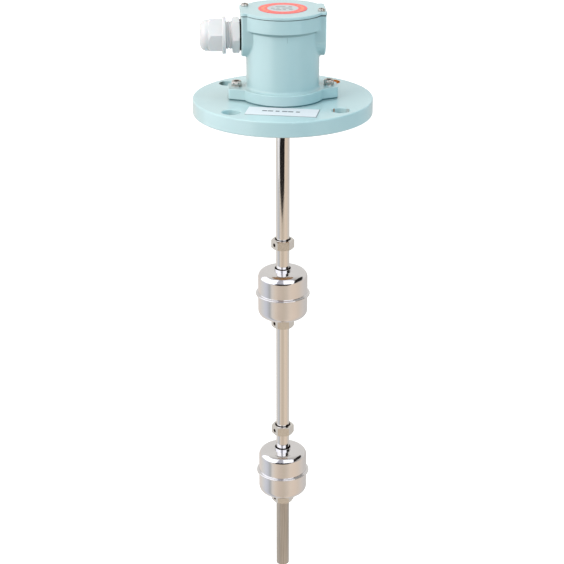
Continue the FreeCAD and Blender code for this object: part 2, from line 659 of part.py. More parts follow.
def head_screws():
    seat = "dims.flange_thickness + dims.gasket_thickness + dims.base_thickness"

    washers = new_body("base_washers", up=seat)
    ring = new_sketch(washers, "washer_sketch")
    for along, across in HEAD_SCREW_SPOTS:
        add_circle(ring, "dims.washer_diameter", along, across)
        add_circle(ring, "dims.base_screw + 2 * dims.screw_gap", along, across)
    pad(washers, "washer_pad", ring, "dims.washer_thickness")
    keep(washers)

    screws = new_body("base_screws", up=seat + " + dims.washer_thickness")
    heads = new_sketch(screws, "base_head_sketch")
    shanks = new_sketch(screws, "base_shank_sketch")
    for along, across in HEAD_SCREW_SPOTS:
        add_circle(heads, "dims.base_screw_head", along, across)
        add_circle(shanks, "dims.base_screw", along, across)
    pad(screws, "base_heads", heads, "dims.base_screw_rise")
    radius = size("base_screw_head") / 2
    soften(screws, "base_head_edges", rings((radius, size("base_screw_rise"))), "dims.base_screw_round")
    shank = "dims.washer_thickness + dims.base_thickness + dims.gasket_thickness + dims.base_screw_grip"
    pad(screws, "base_shanks", shanks, shank, down=True)
    hexagon_sockets(screws, "base_key", "dims.base_screw_key", "dims.base_screw_rise", "dims.base_key_depth",
                    HEAD_SCREW_SPOTS)
    keep(screws)


# ---------------------------------------------------------------- lid

def lid():
    body = new_body("lid", up=LID_BASE)
    disc = new_sketch(body, "lid_disc")
    add_circle(disc, BAND + " + 2 * dims.lid_overhang")
    pad(body, "lid_disc_pad", disc, "dims.lid_thickness")
    ears = new_sketch(body, "lid_ears")
    add_outline(ears, box_corners("2 * " + LID_EAR_REACH, "dims.boss_width"))
    pad(body, "lid_ears_pad", ears, "dims.lid_thickness")
    soften(body, "lid_corners",
           lambda edge: is_upright(edge, worth(LID_EAR_REACH), size("boss_width") / 2),
           "dims.lid_ear_round")
    top = size("lid_thickness")
    soften(body, "lid_edge",
           lambda edge: near(edge.BoundBox.ZMin, top) and near(edge.BoundBox.ZMax, top), "dims.lid_round")
    rim = new_sketch(body, "lid_rim_sketch")
    rim_diameter = CHAMBER + " - 2 * dims.lid_rim_gap"
    add_circle(rim, rim_diameter)
    add_circle(rim, rim_diameter + " - 2 * dims.lid_rim_wall")
    pad(body, "lid_rim", rim, "dims.seal_thickness + dims.lid_rim_depth", down=True)
    holes = new_sketch(body, "lid_screw_sketch", offset="dims.lid_thickness")
    for along, across in LID_SPOTS:
        add_circle(holes, "dims.lid_screw + 2 * dims.clear_gap", along, across)
    cut(body, "lid_screw_holes", holes, "dims.lid_thickness")
    keep(body)

    inner = CHAMBER + " + 2 * dims.lid_rim_gap"
    seal = disc_body("lid_gasket", inner + " + 2 * dims.seal_width", "dims.seal_thickness",
                     bore=inner, up=HEAD_TOP)
    keep(seal)

    pan_screws("lid_screws", "lid_screw", LID_SPOTS,
               "dims.lid_thickness + dims.seal_thickness + dims.lid_screw_grip", up=LID_TOP)


def plates():
    keep(disc_body("lid_label", "dims.label_diameter", "dims.label_thickness", up=LID_TOP))

    tag = new_body("flange_label", up="dims.flange_thickness", along="dims.tag_side",
                   across="-(%s / 2 + dims.tag_gap + dims.tag_width / 2)" % BASE_RING)
    bind(tag, Placement__Rotation__Angle="dims.tag_angle")
    outline = new_sketch(tag, "tag_sketch")
    add_outline(outline, box_corners("dims.tag_length", "dims.tag_width"))
    pad(tag, "tag_pad", outline, "dims.tag_thickness")
    keep(tag)


# ---------------------------------------------------------------- cable gland

def gland_body_at(name):
    """A body whose local Z runs outwards along the gland, from the boss face, and whose X points up."""
    body = new_body(name)
    body.Placement = FreeCAD.Placement(FreeCAD.Vector(), FreeCAD.Rotation(FreeCAD.Vector(0, 1, 0), -90))
    bind(body, Placement__Base__x="-" + BOSS_REACH, Placement__Base__z=HEAD_BASE + " + " + ENTRY_HEIGHT)
    return body


def tube_pad(body, name, outer, inner, start, end):
    sketch = new_sketch(body, name + "_sketch", offset=start)
    add_circle(sketch, outer)
    if inner:
        add_circle(sketch, inner)
    return pad(body, name, sketch, "(%s) - (%s)" % (end, start))


NECK_START = "dims.gland_washer_thickness + dims.gland_hexagon_length"
SEAL_OUTER = "(dims.gland_bore + 2 * dims.gland_seal_wall)"
NUT_TOP = "dims.nut_start + dims.nut_collar_length + dims.nut_hexagon_length"
CHAMBER_END = "dims.nut_start + dims.nut_chamber"
NUT_BORE = "(dims.gland_neck + 2 * dims.nut_gap)"


def gland():
    washer = gland_body_at("gland_washer")
    tube_pad(washer, "gland_washer_pad", "dims.gland_washer", "dims.gland_thread + 2 * dims.screw_gap",
             "0", "dims.gland_washer_thickness")
    keep(washer)

    body = gland_body_at("gland_body")
    hexagon = new_sketch(body, "gland_hexagon_sketch", offset="dims.gland_washer_thickness")
    add_outline(hexagon, hexagon_corners("dims.gland_hexagon", "dims.gland_hexagon_angle"))
    pad(body, "gland_hexagon_pad", hexagon, "dims.gland_hexagon_length")
    bevel_hexagon(body, "gland_bevel", "dims.gland_hexagon", "dims.gland_washer_thickness", NECK_START,
                  "dims.gland_chamfer")
    tube_pad(body, "gland_neck_pad", "dims.gland_neck", None, NECK_START, "dims.gland_neck_end")
    tube_pad(body, "gland_thread_pad", "dims.gland_thread - 2 * dims.screw_gap", None,
             "-dims.gland_spigot", "dims.gland_washer_thickness")
    bore = new_sketch(body, "gland_bore_sketch", offset="dims.gland_neck_end")
    add_circle(bore, "dims.gland_passage")
    cut(body, "gland_bore_cut", bore, "dims.gland_neck_end + dims.gland_spigot")
    seat = new_sketch(body, "seal_seat_sketch", offset="dims.gland_neck_end")
    add_circle(seat, SEAL_OUTER + " + 2 * dims.fixed_gap")
    cut(body, "seal_seat", seat, "dims.gland_neck_end - dims.gland_seal_start")
    keep(body)

    seal = gland_body_at("gland_seal")
    tube_pad(seal, "gland_seal_pad", SEAL_OUTER, "dims.gland_bore", "dims.gland_seal_start",
             "dims.gland_seal_end")
    keep(seal)

    ring = gland_body_at("gland_slip_ring")
    ring_end = CHAMBER_END + " - dims.ring_gap"
    tube_pad(ring, "slip_ring_pad", NUT_BORE + " - 2 * dims.ring_gap", "dims.gland_bore + 2 * dims.ring_gap",
             ring_end + " - dims.ring_thickness", ring_end)
    keep(ring)

    nut = gland_body_at("gland_nut")
    collar_end = "dims.nut_start + dims.nut_collar_length"
    tube_pad(nut, "nut_collar_pad", "dims.nut_collar", None, "dims.nut_start", collar_end)
    edges = rings((size("nut_collar") / 2, size("nut_start")),
                  (size("nut_collar") / 2, size("nut_start") + size("nut_collar_length")))
    soften(nut, "nut_collar_edges", edges, "dims.nut_collar_round")
    flats = new_sketch(nut, "nut_hexagon_sketch", offset=collar_end)
    add_outline(flats, hexagon_corners("dims.nut_hexagon", "dims.nut_hexagon_angle"))
    pad(nut, "nut_hexagon_pad", flats, "dims.nut_hexagon_length")
    dome_radius = "(dims.nut_hexagon / 2 - dims.nut_dome_inset)"
    bevel_hexagon(nut, "nut_bevel", "dims.nut_hexagon", None, NUT_TOP, "dims.nut_bevel_rise", dome_radius)
    dome_end = NUT_TOP + " + dims.nut_dome"
    tube_pad(nut, "nut_dome_pad", "2 * " + dome_radius, None, NUT_TOP, dome_end)
    level = sum(size(alias) for alias in ("nut_start", "nut_collar_length", "nut_hexagon_length", "nut_dome"))
    edge = rings((size("nut_hexagon") / 2 - size("nut_dome_inset"), level))
    soften(nut, "nut_dome_fillet", edge, "dims.nut_dome_round")
    bore = new_sketch(nut, "nut_bore_sketch", "XZ_Plane")
    add_outline(bore, [
        ("0", "dims.nut_start - dims.overshoot"),
        (NUT_BORE + " / 2", "dims.nut_start - dims.overshoot"),
        (NUT_BORE + " / 2", CHAMBER_END),
        (NUT_BORE + " / 2 - dims.ring_thickness", CHAMBER_END),
        ("dims.gland_bore / 2 + dims.ring_gap", dome_end + " - dims.ring_thickness"),
        ("dims.gland_bore / 2 + dims.ring_gap", dome_end + " + dims.overshoot"),
        ("0", dome_end + " + dims.overshoot"),
    ])
    turn(nut, "nut_bore_cut", bore, groove=True)
    keep(nut)


# ---------------------------------------------------------------- floats and stops

HALF_FLOAT = "dims.float_height / 2"
FLOATS = ("upper", "lower")


def half_shell(name, level, upside_down):
    """One pressed half of a float: crown, shoulder, side wall and half of the welded bead."""
    body = new_body(name)
    if upside_down:
        body.Placement = FreeCAD.Placement(FreeCAD.Vector(), FreeCAD.Rotation(FreeCAD.Vector(1, 0, 0), 180))
    bind(body, Placement__Base__z=level)
    profile = new_sketch(body, name + "_profile", "XZ_Plane")
    wall = "dims.float_diameter / 2"
    inner_wall = wall + " - dims.float_skin"
    hole = "dims.sleeve_diameter / 2 + dims.fixed_gap"
    add_outline(profile, [
        ("dims.bead_diameter / 2", "0"),
        ("dims.bead_diameter / 2", "dims.bead_thickness / 2"),
        (wall, "dims.bead_thickness / 2"),
        (wall, HALF_FLOAT),
        (hole, HALF_FLOAT),
        (hole, HALF_FLOAT + " - dims.float_skin"),
        (inner_wall, HALF_FLOAT + " - dims.float_skin"),
        (inner_wall, "0"),
    ])
    turn(body, name + "_turned", profile)
    radius = size("float_diameter") / 2
    crown = size("float_height") / 2
    skin = size("float_skin")
    bead = size("bead_thickness") / 2
    soften(body, name + "_shoulder", rings((radius, crown)), "dims.float_round")
    soften(body, name + "_inside", rings((radius - skin, crown - skin)), "dims.float_round - dims.float_skin")
    soften(body, name + "_bead", rings((size("bead_diameter") / 2, bead)), "dims.bead_round")
    soften(body, name + "_bead_root", rings((radius, bead)), "dims.bead_root")
    keep(body)


def float_unit(place):
    level = "-dims.%s_float_drop" % place
    half_shell(place + "_float_top_shell", level, False)
    half_shell(place + "_float_bottom_shell", level, True)
    keep(disc_body(place + "_float_sleeve", "dims.sleeve_diameter",
                   "dims.float_height + 2 * dims.sleeve_reach",
                   bore="dims.sleeve_diameter - 2 * dims.sleeve_wall",
                   up=level + " - dims.float_height / 2 - dims.sleeve_reach"))
    keep(disc_body(place + "_float_magnet", "dims.magnet_diameter", "dims.magnet_height",
                   bore="dims.sleeve_diameter + 2 * dims.magnet_gap",
                   up=level + " - dims.magnet_height / 2"))
    clips = new_body(place + "_float_clips", up=level)
    for side, base in (("under", "-dims.magnet_height / 2 - dims.clip_thickness"),
                       ("over", "dims.magnet_height / 2")):
        tube_pad(clips, "%s_%s_clip" % (place, side), "dims.clip_diameter",
                 "dims.sleeve_diameter + 2 * dims.fixed_gap", base, base + " + dims.clip_thickness")
    keep(clips)


def stop_bases():
    """Name and underside of each stop collar: a float rests on one and rises to the other."""
    bases = []
    for place in FLOATS:
        level = "-dims.%s_float_drop" % place
        reach = "(dims.float_height / 2 + dims.sleeve_reach + dims.rest_gap)"
        bases.append((place + "_float_bottom_stop", "%s - %s - dims.stop_height" % (level, reach)))
        bases.append((place + "_float_top_stop", "%s + %s + dims.%s_float_travel" % (level, reach, place)))
    return bases


def turned_to_grub(body):
    """Turn a body so that its local X points where the grub screws are driven in."""
    bind(body, Placement__Rotation__Angle="dims.grub_angle")


def stop_collars():
    for name, base in stop_bases():
        body = new_body(name, up=base)
        turned_to_grub(body)
        outline = new_sketch(body, name + "_outline")
        add_outline(outline, hexagon_corners("dims.stop_hexagon", "dims.stop_angle"))
        pad(body, name + "_pad", outline, "dims.stop_height")
        bevel_hexagon(body, name + "_bevel", "dims.stop_hexagon", "0", "dims.stop_height", "dims.stop_bevel")
        hole = new_sketch(body, name + "_hole", offset="dims.stop_height")
        add_circle(hole, STEM_HOLE)
        cut(body, name + "_bore", hole, "dims.stop_height")
        mouth = worth(STEM_HOLE) / 2
        edges = rings((mouth, 0), (mouth, size("stop_height")))
        soften(body, name + "_mouths", edges, "dims.stop_mouth", bevel=True)
        side = new_sketch(body, name + "_side", "YZ_Plane")
        add_circle(side, "dims.grub_diameter + 2 * dims.screw_gap", "0", "dims.stop_height / 2")
        cut(body, name + "_grub_hole", side, "dims.stop_hexagon", up=True)
        keep(body)

    grubs = new_body("stop_grub_screws")
    turned_to_grub(grubs)
    inner = "dims.stem_diameter / 2 + dims.fixed_gap"
    outer = "dims.stop_hexagon / 2 - dims.clear_gap"
    shafts = new_sketch(grubs, "grub_sketch", "YZ_Plane", inner)
    sockets = new_sketch(grubs, "grub_key_sketch", "YZ_Plane", outer)
    for name, base in stop_bases():
        height = "%s + dims.stop_height / 2" % base
        add_circle(shafts, "dims.grub_diameter", "0", height)
        corners = [(x, "%s + %s" % (height, y)) for x, y in hexagon_corners("dims.grub_key")]
        add_outline(sockets, corners)
    pad(grubs, "grub_shafts", shafts, "%s - (%s)" % (outer, inner))
    cut(grubs, "grub_keys", sockets, "dims.grub_key_depth")
    keep(grubs)


# ---------------------------------------------------------------- switch insert

def reed_insert():
    bottom = "-dims.stem_length + dims.plug_cap + dims.plug_spigot"
    board = new_body("reed_board", up=bottom)
    strip = new_sketch(board, "board_sketch")
    add_outline(strip, box_corners("dims.board_width", "dims.board_thickness"))
    pad(board, "board_pad", strip, "dims.board_rise - (%s)" % bottom)
    keep(board)

    out = "-(dims.board_thickness / 2 + dims.capsule_gap + dims.capsule_diameter / 2)"
    capsules = new_body("reed_capsules", across=out)
    blades = new_body("reed_blades", across=out)
    bore = "dims.capsule_diameter - 2 * dims.capsule_wall"
    hole = "dims.reed_wire + 2 * dims.fixed_gap"
    half = "dims.capsule_length / 2"
    for place in FLOATS:
        level = "-dims.%s_float_drop + dims.%s_float_travel" % (place, place)
        low, high = "%s - %s" % (level, half), "%s + %s" % (level, half)
        tube_pad(capsules, place + "_glass", "dims.capsule_diameter", bore, low, high)
        tube_pad(capsules, place + "_glass_foot", "dims.capsule_diameter", hole, low,
                 low + " + 2 * dims.capsule_wall")
        tube_pad(capsules, place + "_glass_head", "dims.capsule_diameter", hole,
                 high + " - 2 * dims.capsule_wall", high)
        tube_pad(blades, place + "_blade_low", "dims.reed_wire", None, low + " - dims.reed_tail",
                 level + " - dims.reed_gap / 2")
        tube_pad(blades, place + "_blade_high", "dims.reed_wire", None, level + " + dims.reed_gap / 2",
                 high + " + dims.reed_tail")
    keep(capsules)
    keep(blades)


# ---------------------------------------------------------------- terminals

BLOCK_BASE = HEAD_BASE + " + dims.floor_thickness + dims.pedestal_height"


def pole_spots(across):
    """Positions of the poles along the block, which is centred on the stem's axis."""
    return [("(%d - (dims.pole_count - 1) / 2) * dims.pole_pitch" % number, across)
            for number in range(int(size("pole_count")))]


def terminals():
    block = new_body("terminal_block", up=BLOCK_BASE, across="dims.pedestal_reach")
    feet = new_sketch(block, "block_feet")
    add_outline(feet, box_corners(BLOCK_LENGTH + " + 2 * dims.block_tab", "dims.block_depth"))
    pad(block, "block_feet_pad", feet, "dims.block_tab_height")
    towers = new_sketch(block, "block_towers")
    add_outline(towers, box_corners(BLOCK_LENGTH, "dims.block_depth"))
    pad(block, "block_towers_pad", towers, "dims.block_height")

    entries = new_sketch(block, "entry_holes", "XZ_Plane", "dims.block_depth / 2")
    pockets = new_sketch(block, "clamp_pockets", "XZ_Plane", "-dims.block_depth / 2")
    pocket_size = "(dims.clamp_size + 2 * dims.clamp_wall_gap)"
    for along, level in pole_spots("dims.entry_rise"):
        add_circle(entries, "dims.wire_entry", along, level)
        add_outline(pockets, box_corners(pocket_size, pocket_size, along, level))
    cut(block, "entry_cut", entries, "dims.block_depth / 2")
    cut(block, "pocket_cut", pockets, "(dims.block_depth + dims.clamp_length) / 2", up=True)

    wells = new_sketch(block, "screw_wells", offset="dims.block_height")
    for along, across in pole_spots("0"):
        add_circle(wells, "dims.pole_screw + 2 * dims.pole_screw_gap", along, across)
    cut(block, "wells_cut", wells, "dims.block_height - dims.entry_rise")
    fixings = new_sketch(block, "block_fixings", offset="dims.block_tab_height")
    for along, across in FIXING_SPOTS:
        add_circle(fixings, "dims.block_screw + 2 * dims.clear_gap", along, across)
    cut(block, "fixings_cut", fixings, "dims.block_tab_height")
    keep(block)

    clamps = new_body("terminal_clamps", up=BLOCK_BASE + " + dims.entry_rise", across="dims.pedestal_reach")
    cages = new_sketch(clamps, "clamp_sketch", offset="-dims.clamp_size / 2")
    screw_holes = new_sketch(clamps, "clamp_screw_sketch", offset="dims.clamp_size / 2")
    mouths = new_sketch(clamps, "clamp_mouth_sketch", "XZ_Plane")
    for along, across in pole_spots("0"):
        add_outline(cages, box_corners("dims.clamp_size", "dims.clamp_length", along, across))
        add_circle(screw_holes, "dims.pole_screw + dims.screw_gap", along, across)
        add_circle(mouths, "dims.wire_entry - 2 * dims.clear_gap", along, across)
    pad(clamps, "clamp_pad", cages, "dims.clamp_size")
    cut(clamps, "clamp_screw_cut", screw_holes, "dims.clamp_size / 2")
    cut(clamps, "clamp_mouth_cut", mouths, "dims.clamp_length + dims.overshoot", midplane=True)
    keep(clamps)

    tip = "dims.entry_rise + dims.lead_diameter / 2 + dims.clear_gap"
    screws = new_body("terminal_screws", up=BLOCK_BASE, across="dims.pedestal_reach")
    shanks = new_sketch(screws, "pole_screw_sketch", offset=tip)
    slots = new_sketch(screws, "pole_slot_sketch", offset="dims.block_height - dims.pole_screw_sink")
    for along, across in pole_spots("0"):
        add_circle(shanks, "dims.pole_screw", along, across)
        add_outline(slots, box_corners("dims.pole_screw + dims.overshoot", "dims.pole_slot", along, across))
    pad(screws, "pole_screw_pad", shanks, "dims.block_height - dims.pole_screw_sink - (%s)" % tip)
    cut(screws, "pole_slot_cut", slots, "dims.pole_slot_depth")
    keep(screws)

    pan_screws("terminal_fixing_screws", "block_screw", FIXING_SPOTS,
               "dims.block_tab_height + dims.block_screw_grip",
               up=BLOCK_BASE + " + dims.block_tab_height", across="dims.pedestal_reach")

    pad_top = HEAD_BASE + " + dims.floor_thickness + dims.earth_pad_height"
    keep(disc_body("earth_washer", "dims.earth_washer", "dims.earth_washer_thickness",
                   bore="dims.earth_screw + 2 * dims.clear_gap", up=pad_top, across="-dims.earth_reach"))
    pan_screws("earth_screw", "earth_screw", [("0", "0")],
               "dims.earth_washer_thickness + dims.earth_screw_grip",
               up=pad_top + " + dims.earth_washer_thickness", across="-dims.earth_reach")


def tangent_arc(before, corner, after, bend):
    """Arc of a given radius that rounds off a corner between two straight runs, and its two ends."""
    arriving = (corner - before).normalize()
    leaving = (after - corner).normalize()
    angle = arriving.getAngle(leaving)
    first = corner - arriving * (bend * math.tan(angle / 2))
    last = corner + leaving * (bend * math.tan(angle / 2))
    inwards = (leaving - arriving).normalize()
    middle = corner + inwards * (bend / math.cos(angle / 2) - bend)
    return first, Part.Arc(first, middle, last).toShape(), last


def lead_wires():
    """Four wires from the board's back: straight up, over a bend, across and straight into the terminals."""
    radius = size("lead_diameter") / 2
    bend = size("lead_bend")
    rise = sum(size(alias) for alias in ("flange_thickness", "gasket_thickness", "floor_thickness",
                                         "pedestal_height", "entry_rise")) - size("lead_start")
    back = size("board_thickness") / 2 + size("screw_gap") + radius
    face = size("pedestal_reach") - size("block_depth") / 2 - back
    count = int(size("pole_count"))
    wires = []
    for number in range(count):
        rank = number - (count - 1) / 2
        start = FreeCAD.Vector(rank * size("lead_pitch"), 0, 0)
        over = start + FreeCAD.Vector(0, 0, rise)
        approach = FreeCAD.Vector(rank * size("pole_pitch"), face - size("lead_approach"), rise)
        end = approach + FreeCAD.Vector(0, size("lead_approach") + size("lead_insert"), 0)
        bend_start, rising_arc, bend_end = tangent_arc(start, over, approach, bend)
        turn_start, level_arc, turn_end = tangent_arc(over, approach, end, bend)
        path = Part.Wire([
            Part.LineSegment(start, bend_start).toShape(),
            rising_arc,
            Part.LineSegment(bend_end, turn_start).toShape(),
            level_arc,
            Part.LineSegment(turn_end, end).toShape(),
        ])
        section = Part.Wire([Part.Circle(start, FreeCAD.Vector(0, 0, 1), radius).toShape()])
        wire = path.makePipeShell([section], True, False)
        expected = math.pi * radius ** 2 * path.Length
        if abs(wire.Volume - expected) > 0.01 * expected:
            raise RuntimeError("lead wire %d is not whole" % number)
        wires.append(wire)
    print("lead wires: bend radius %.1f mm, wire diameter %.1f mm" % (bend, 2 * radius))
    feature = DOC.addObject("Part::Feature", "lead_wires")
    feature.Label = "lead_wires"
    feature.Shape = Part.makeCompound(wires)
    bind(feature, Placement__Base__z="dims.lead_start",
         Placement__Base__y="dims.board_thickness / 2 + dims.screw_gap + dims.lead_diameter / 2")
    keep(feature)


# ---------------------------------------------------------------- build, check and write

def check(item):
    if any(word in item.State for word in ("Invalid", "Error")):
        raise RuntimeError("%s has failed: %s" % (item.Label, item.State))


def main():
    flange()
    stem()
    base_gasket()
    head_housing()
    head_screws()
    lid()
    plates()
    gland()
    for place in FLOATS:
        float_unit(place)
    stop_collars()
    reed_insert()
    terminals()
    lead_wires()
    DOC.recompute()

    for item in DOC.Objects:
        check(item)
    for node in NODES:
        if node.Shape.isNull() or not node.Shape.isValid() or not node.Shape.Solids:
            raise RuntimeError("%s has no valid solid" % node.Label)
    os.makedirs("parts", exist_ok=True)
    for node in NODES:
        node.Shape.exportStep("parts/%s.step" % node.Label)
        print("%-26s %2d solid(s) %12.2f mm3" % (node.Label, len(node.Shape.Solids), node.Shape.Volume))


main()
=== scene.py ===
import json
import math

import bmesh
import bpy
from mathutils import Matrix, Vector


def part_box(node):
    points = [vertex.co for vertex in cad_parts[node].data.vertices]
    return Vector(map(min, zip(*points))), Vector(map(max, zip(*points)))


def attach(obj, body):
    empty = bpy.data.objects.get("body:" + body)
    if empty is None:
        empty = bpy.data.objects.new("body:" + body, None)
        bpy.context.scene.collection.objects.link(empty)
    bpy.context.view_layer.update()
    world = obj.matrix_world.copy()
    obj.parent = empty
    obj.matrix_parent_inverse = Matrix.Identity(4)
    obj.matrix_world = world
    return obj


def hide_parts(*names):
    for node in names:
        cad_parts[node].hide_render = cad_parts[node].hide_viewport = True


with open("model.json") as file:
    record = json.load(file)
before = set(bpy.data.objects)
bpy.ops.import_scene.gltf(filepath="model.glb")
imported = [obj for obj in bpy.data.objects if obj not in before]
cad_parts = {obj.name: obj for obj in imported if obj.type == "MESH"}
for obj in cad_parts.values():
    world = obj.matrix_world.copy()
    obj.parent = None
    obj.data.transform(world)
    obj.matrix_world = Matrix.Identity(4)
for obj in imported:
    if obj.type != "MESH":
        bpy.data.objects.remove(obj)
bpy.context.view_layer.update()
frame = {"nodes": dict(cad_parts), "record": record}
NODES = frame["nodes"]

# ---------------------------------------------------------------- places, worked out from the frame

MM = 0.001

HEAD_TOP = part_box("head_housing")[1].z
LID_SEAM = HEAD_TOP + 0.3 * MM
BAND_FOOT = HEAD_TOP - 14 * MM
COVE_LEVEL = BAND_FOOT - 1.2 * MM
MOULD_MARK_LEVEL = BAND_FOOT - 6 * MM

WASHER_LOW, WASHER_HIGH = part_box("gland_washer")
GLAND_LOW, GLAND_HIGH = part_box("gland_body")
BOSS_FACE = -WASHER_HIGH.x
GLAND_AXIS = (WASHER_LOW.z + WASHER_HIGH.z) / 2

SCREWS_LOW, SCREWS_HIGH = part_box("base_screws")
SCREW_HEAD = SCREWS_HIGH.y
SCREW_SPREAD = SCREWS_HIGH.x - SCREW_HEAD

BOLTS = next(mount["dims"] for mount in frame["record"]["mounts"] if mount["name"] == "flange_bolts")
BOLT_CIRCLE = BOLTS["pcd_mm"] * MM
BOLT_RADIUS = BOLTS["hole_r_mm"] * MM

STEM_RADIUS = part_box("stem_tube")[1].x
STEM_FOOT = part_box("stem_end_plug")[0].z
DULL_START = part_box("lower_float_bottom_stop")[0].z
STOP_MOUTH = 1.3 * MM

SLEEVE_WALL = 1 * MM
SLEEVE_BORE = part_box("upper_float_sleeve")[1].x - SLEEVE_WALL
SLEEVE_MOUTH = 0.7 * MM
SLEEVE_LIP = 0.3 * MM

LABEL_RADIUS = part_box("lid_label")[1].x
CENTRE_RADIUS = LABEL_RADIUS * 0.635

STICKER_LOW, STICKER_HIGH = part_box("flange_label")
STICKER_TURN = math.radians(-12.2)
STICKER_LENGTH = 70 * MM
STICKER_WIDTH = 27 * MM


# ---------------------------------------------------------------- shader helpers

# Nearly all of a noise's values lie between these two
NOISE_LOW, NOISE_HIGH = 0.3, 0.7


def grey(value):
    """A linear colour without any hue."""
    return (value, value, value)


def linear(red, green, blue):
    """An sRGB colour, 0 to 255, as the linear colour that shaders take."""
    values = []
    for channel in (red, green, blue):
        share = channel / 255
        values.append(share / 12.92 if share <= 0.04045 else ((share + 0.055) / 1.055) ** 2.4)
    return tuple(values)


def darker(colour, share):
    """A colour with each of its channels turned down to a share."""
    return tuple(share * channel for channel in colour)


class Nodes:
    """A node tree, with one short method for each kind of node that the script uses."""

    def __init__(self, tree, coordinates):
        self.tree = tree
        self.place = self.add("TexCoord").outputs[coordinates]

    def add(self, kind):
        return self.tree.nodes.new("ShaderNode" + kind)

    def put(self, socket, value):
        """Link a socket to another one, or give it a plain number or colour."""
        if isinstance(value, bpy.types.NodeSocket):
            self.tree.links.new(value, socket)
        elif isinstance(value, tuple):
            socket.default_value = (*value, 1.0)
        else:
            socket.default_value = value

    def math(self, operation, first, second=0.0):
        node = self.add("Math")
        node.operation = operation
        self.put(node.inputs[0], first)
        self.put(node.inputs[1], second)
        return node.outputs[0]

    def times(self, product, *factors):
        for factor in factors:
            product = self.math("MULTIPLY", product, factor)
        return product

    def most(self, largest, *others):
        """The largest of some values."""
        for other in others:
            largest = self.math("MAXIMUM", largest, other)
        return largest

    def coordinate(self, axis, source=None):
        """One coordinate of a point: 0, 1 or 2 for x, y or z."""
        node = self.add("SeparateXYZ")
        self.put(node.inputs[0], source or self.place)
        return node.outputs[axis]

    def length(self, across, along):
        """The length of a level vector that is given by its two coordinates."""
        square = self.math("ADD", self.times(across, across), self.times(along, along))
        return self.math("SQRT", square)

    def reach(self):
        """How far a point is from the stem's axis."""
        return self.length(self.coordinate(0), self.coordinate(1))

    def shifted(self, offset=(0, 0, 0), turn=0.0, stretch=(1, 1, 1)):
        """The point as seen from a place in the row frame, turned about Z and stretched."""
        node = self.add("Mapping")
        node.vector_type = "TEXTURE"
        self.put(node.inputs["Vector"], self.place)
        node.inputs["Location"].default_value = offset
        node.inputs["Rotation"].default_value = (0, 0, turn)
        node.inputs["Scale"].default_value = stretch
        return node.outputs[0]

    def noise(self, scale, detail=2.0, roughness=0.5, source=None):
        node = self.add("TexNoise")
        self.put(node.inputs["Vector"], source or self.place)
        node.inputs["Scale"].default_value = scale
        node.inputs["Detail"].default_value = detail
        node.inputs["Roughness"].default_value = roughness
        return node.outputs[0]

    def wave(self, value, rate):
        """A sine of a value that is turned into an angle at a rate, in radians."""
        return self.math("SINE", self.times(value, rate))

    def between(self, value, low, high, first=0.0, last=1.0, smooth=True):
        """Map a value's range from low..high to first..last, held at both ends."""
        node = self.add("MapRange")
        node.interpolation_type = "SMOOTHSTEP" if smooth else "LINEAR"
        self.put(node.inputs["Value"], value)
        node.inputs["From Min"].default_value = low
        node.inputs["From Max"].default_value = high
        node.inputs["To Min"].default_value = first
        node.inputs["To Max"].default_value = last
        return node.outputs[0]

    def below(self, value, limit, edge):
        """1 while a value is under a limit, falling to 0 over a soft edge beyond it."""
        return self.between(value, limit, limit + edge, 1.0, 0.0)

    def within(self, value, centre, half_width, edge):
        """1 where a value lies within half_width of a centre, falling to 0 over a soft edge."""
        away = self.math("ABSOLUTE", self.math("SUBTRACT", value, centre))
        return self.below(away, half_width - edge / 2, edge)

    def mix(self, share, first, second):
        node = self.add("Mix")
        node.data_type = "RGBA"
        self.put(node.inputs[0], share)
        self.put(node.inputs[6], first)
        self.put(node.inputs[7], second)
        return node.outputs[2]

    def vary(self, noise, low, high):
        """A value that wanders between two others as a noise does."""
        return self.between(noise, NOISE_LOW, NOISE_HIGH, low, high)

    def cloudy(self, noise, first, second, low=NOISE_LOW, high=NOISE_HIGH):
        """Two colours that a noise blends into each other."""
        return self.mix(self.between(noise, low, high), first, second)

    def ramp(self, value, low, high, stops):
        """Colours that follow one another as a value goes from low to high."""
        node = self.add("ValToRGB")
        self.put(node.inputs[0], self.between(value, low, high, smooth=False))
        marks = node.color_ramp.elements
        for number, (at, colour) in enumerate(stops):
            share = (at - low) / (high - low)
            mark = marks[number] if number < 2 else marks.new(share)
            mark.position = share
            mark.color = (*colour, 1.0)
        return node.outputs[0]

    def crevice(self, reach):
        """1 down in seams and corners narrower than a reach, 0 in the open."""
        node = self.add("AmbientOcclusion")
        node.samples = 12
        node.inputs["Distance"].default_value = reach
        return self.between(node.outputs["AO"], 0.25, 0.75, 1.0, 0.0)

    def bump(self, height, distance, strength=1.0, over=None):
        """A normal bent by a height, over another bump where one is given."""
        node = self.add("Bump")
        node.inputs["Strength"].default_value = strength
        node.inputs["Distance"].default_value = distance
        self.put(node.inputs["Height"], height)
        if over:
            self.put(node.inputs["Normal"], over)
        return node.outputs[0]

    def by_ray(self, seen, lit, mirrored):
        """What the camera sees, what lights the part, and what shiny surfaces mirror."""
        path = self.add("LightPath")
        matt = self.mix(path.outputs["Is Camera Ray"], lit, seen)
        return self.mix(path.outputs["Is Glossy Ray"], matt, mirrored)


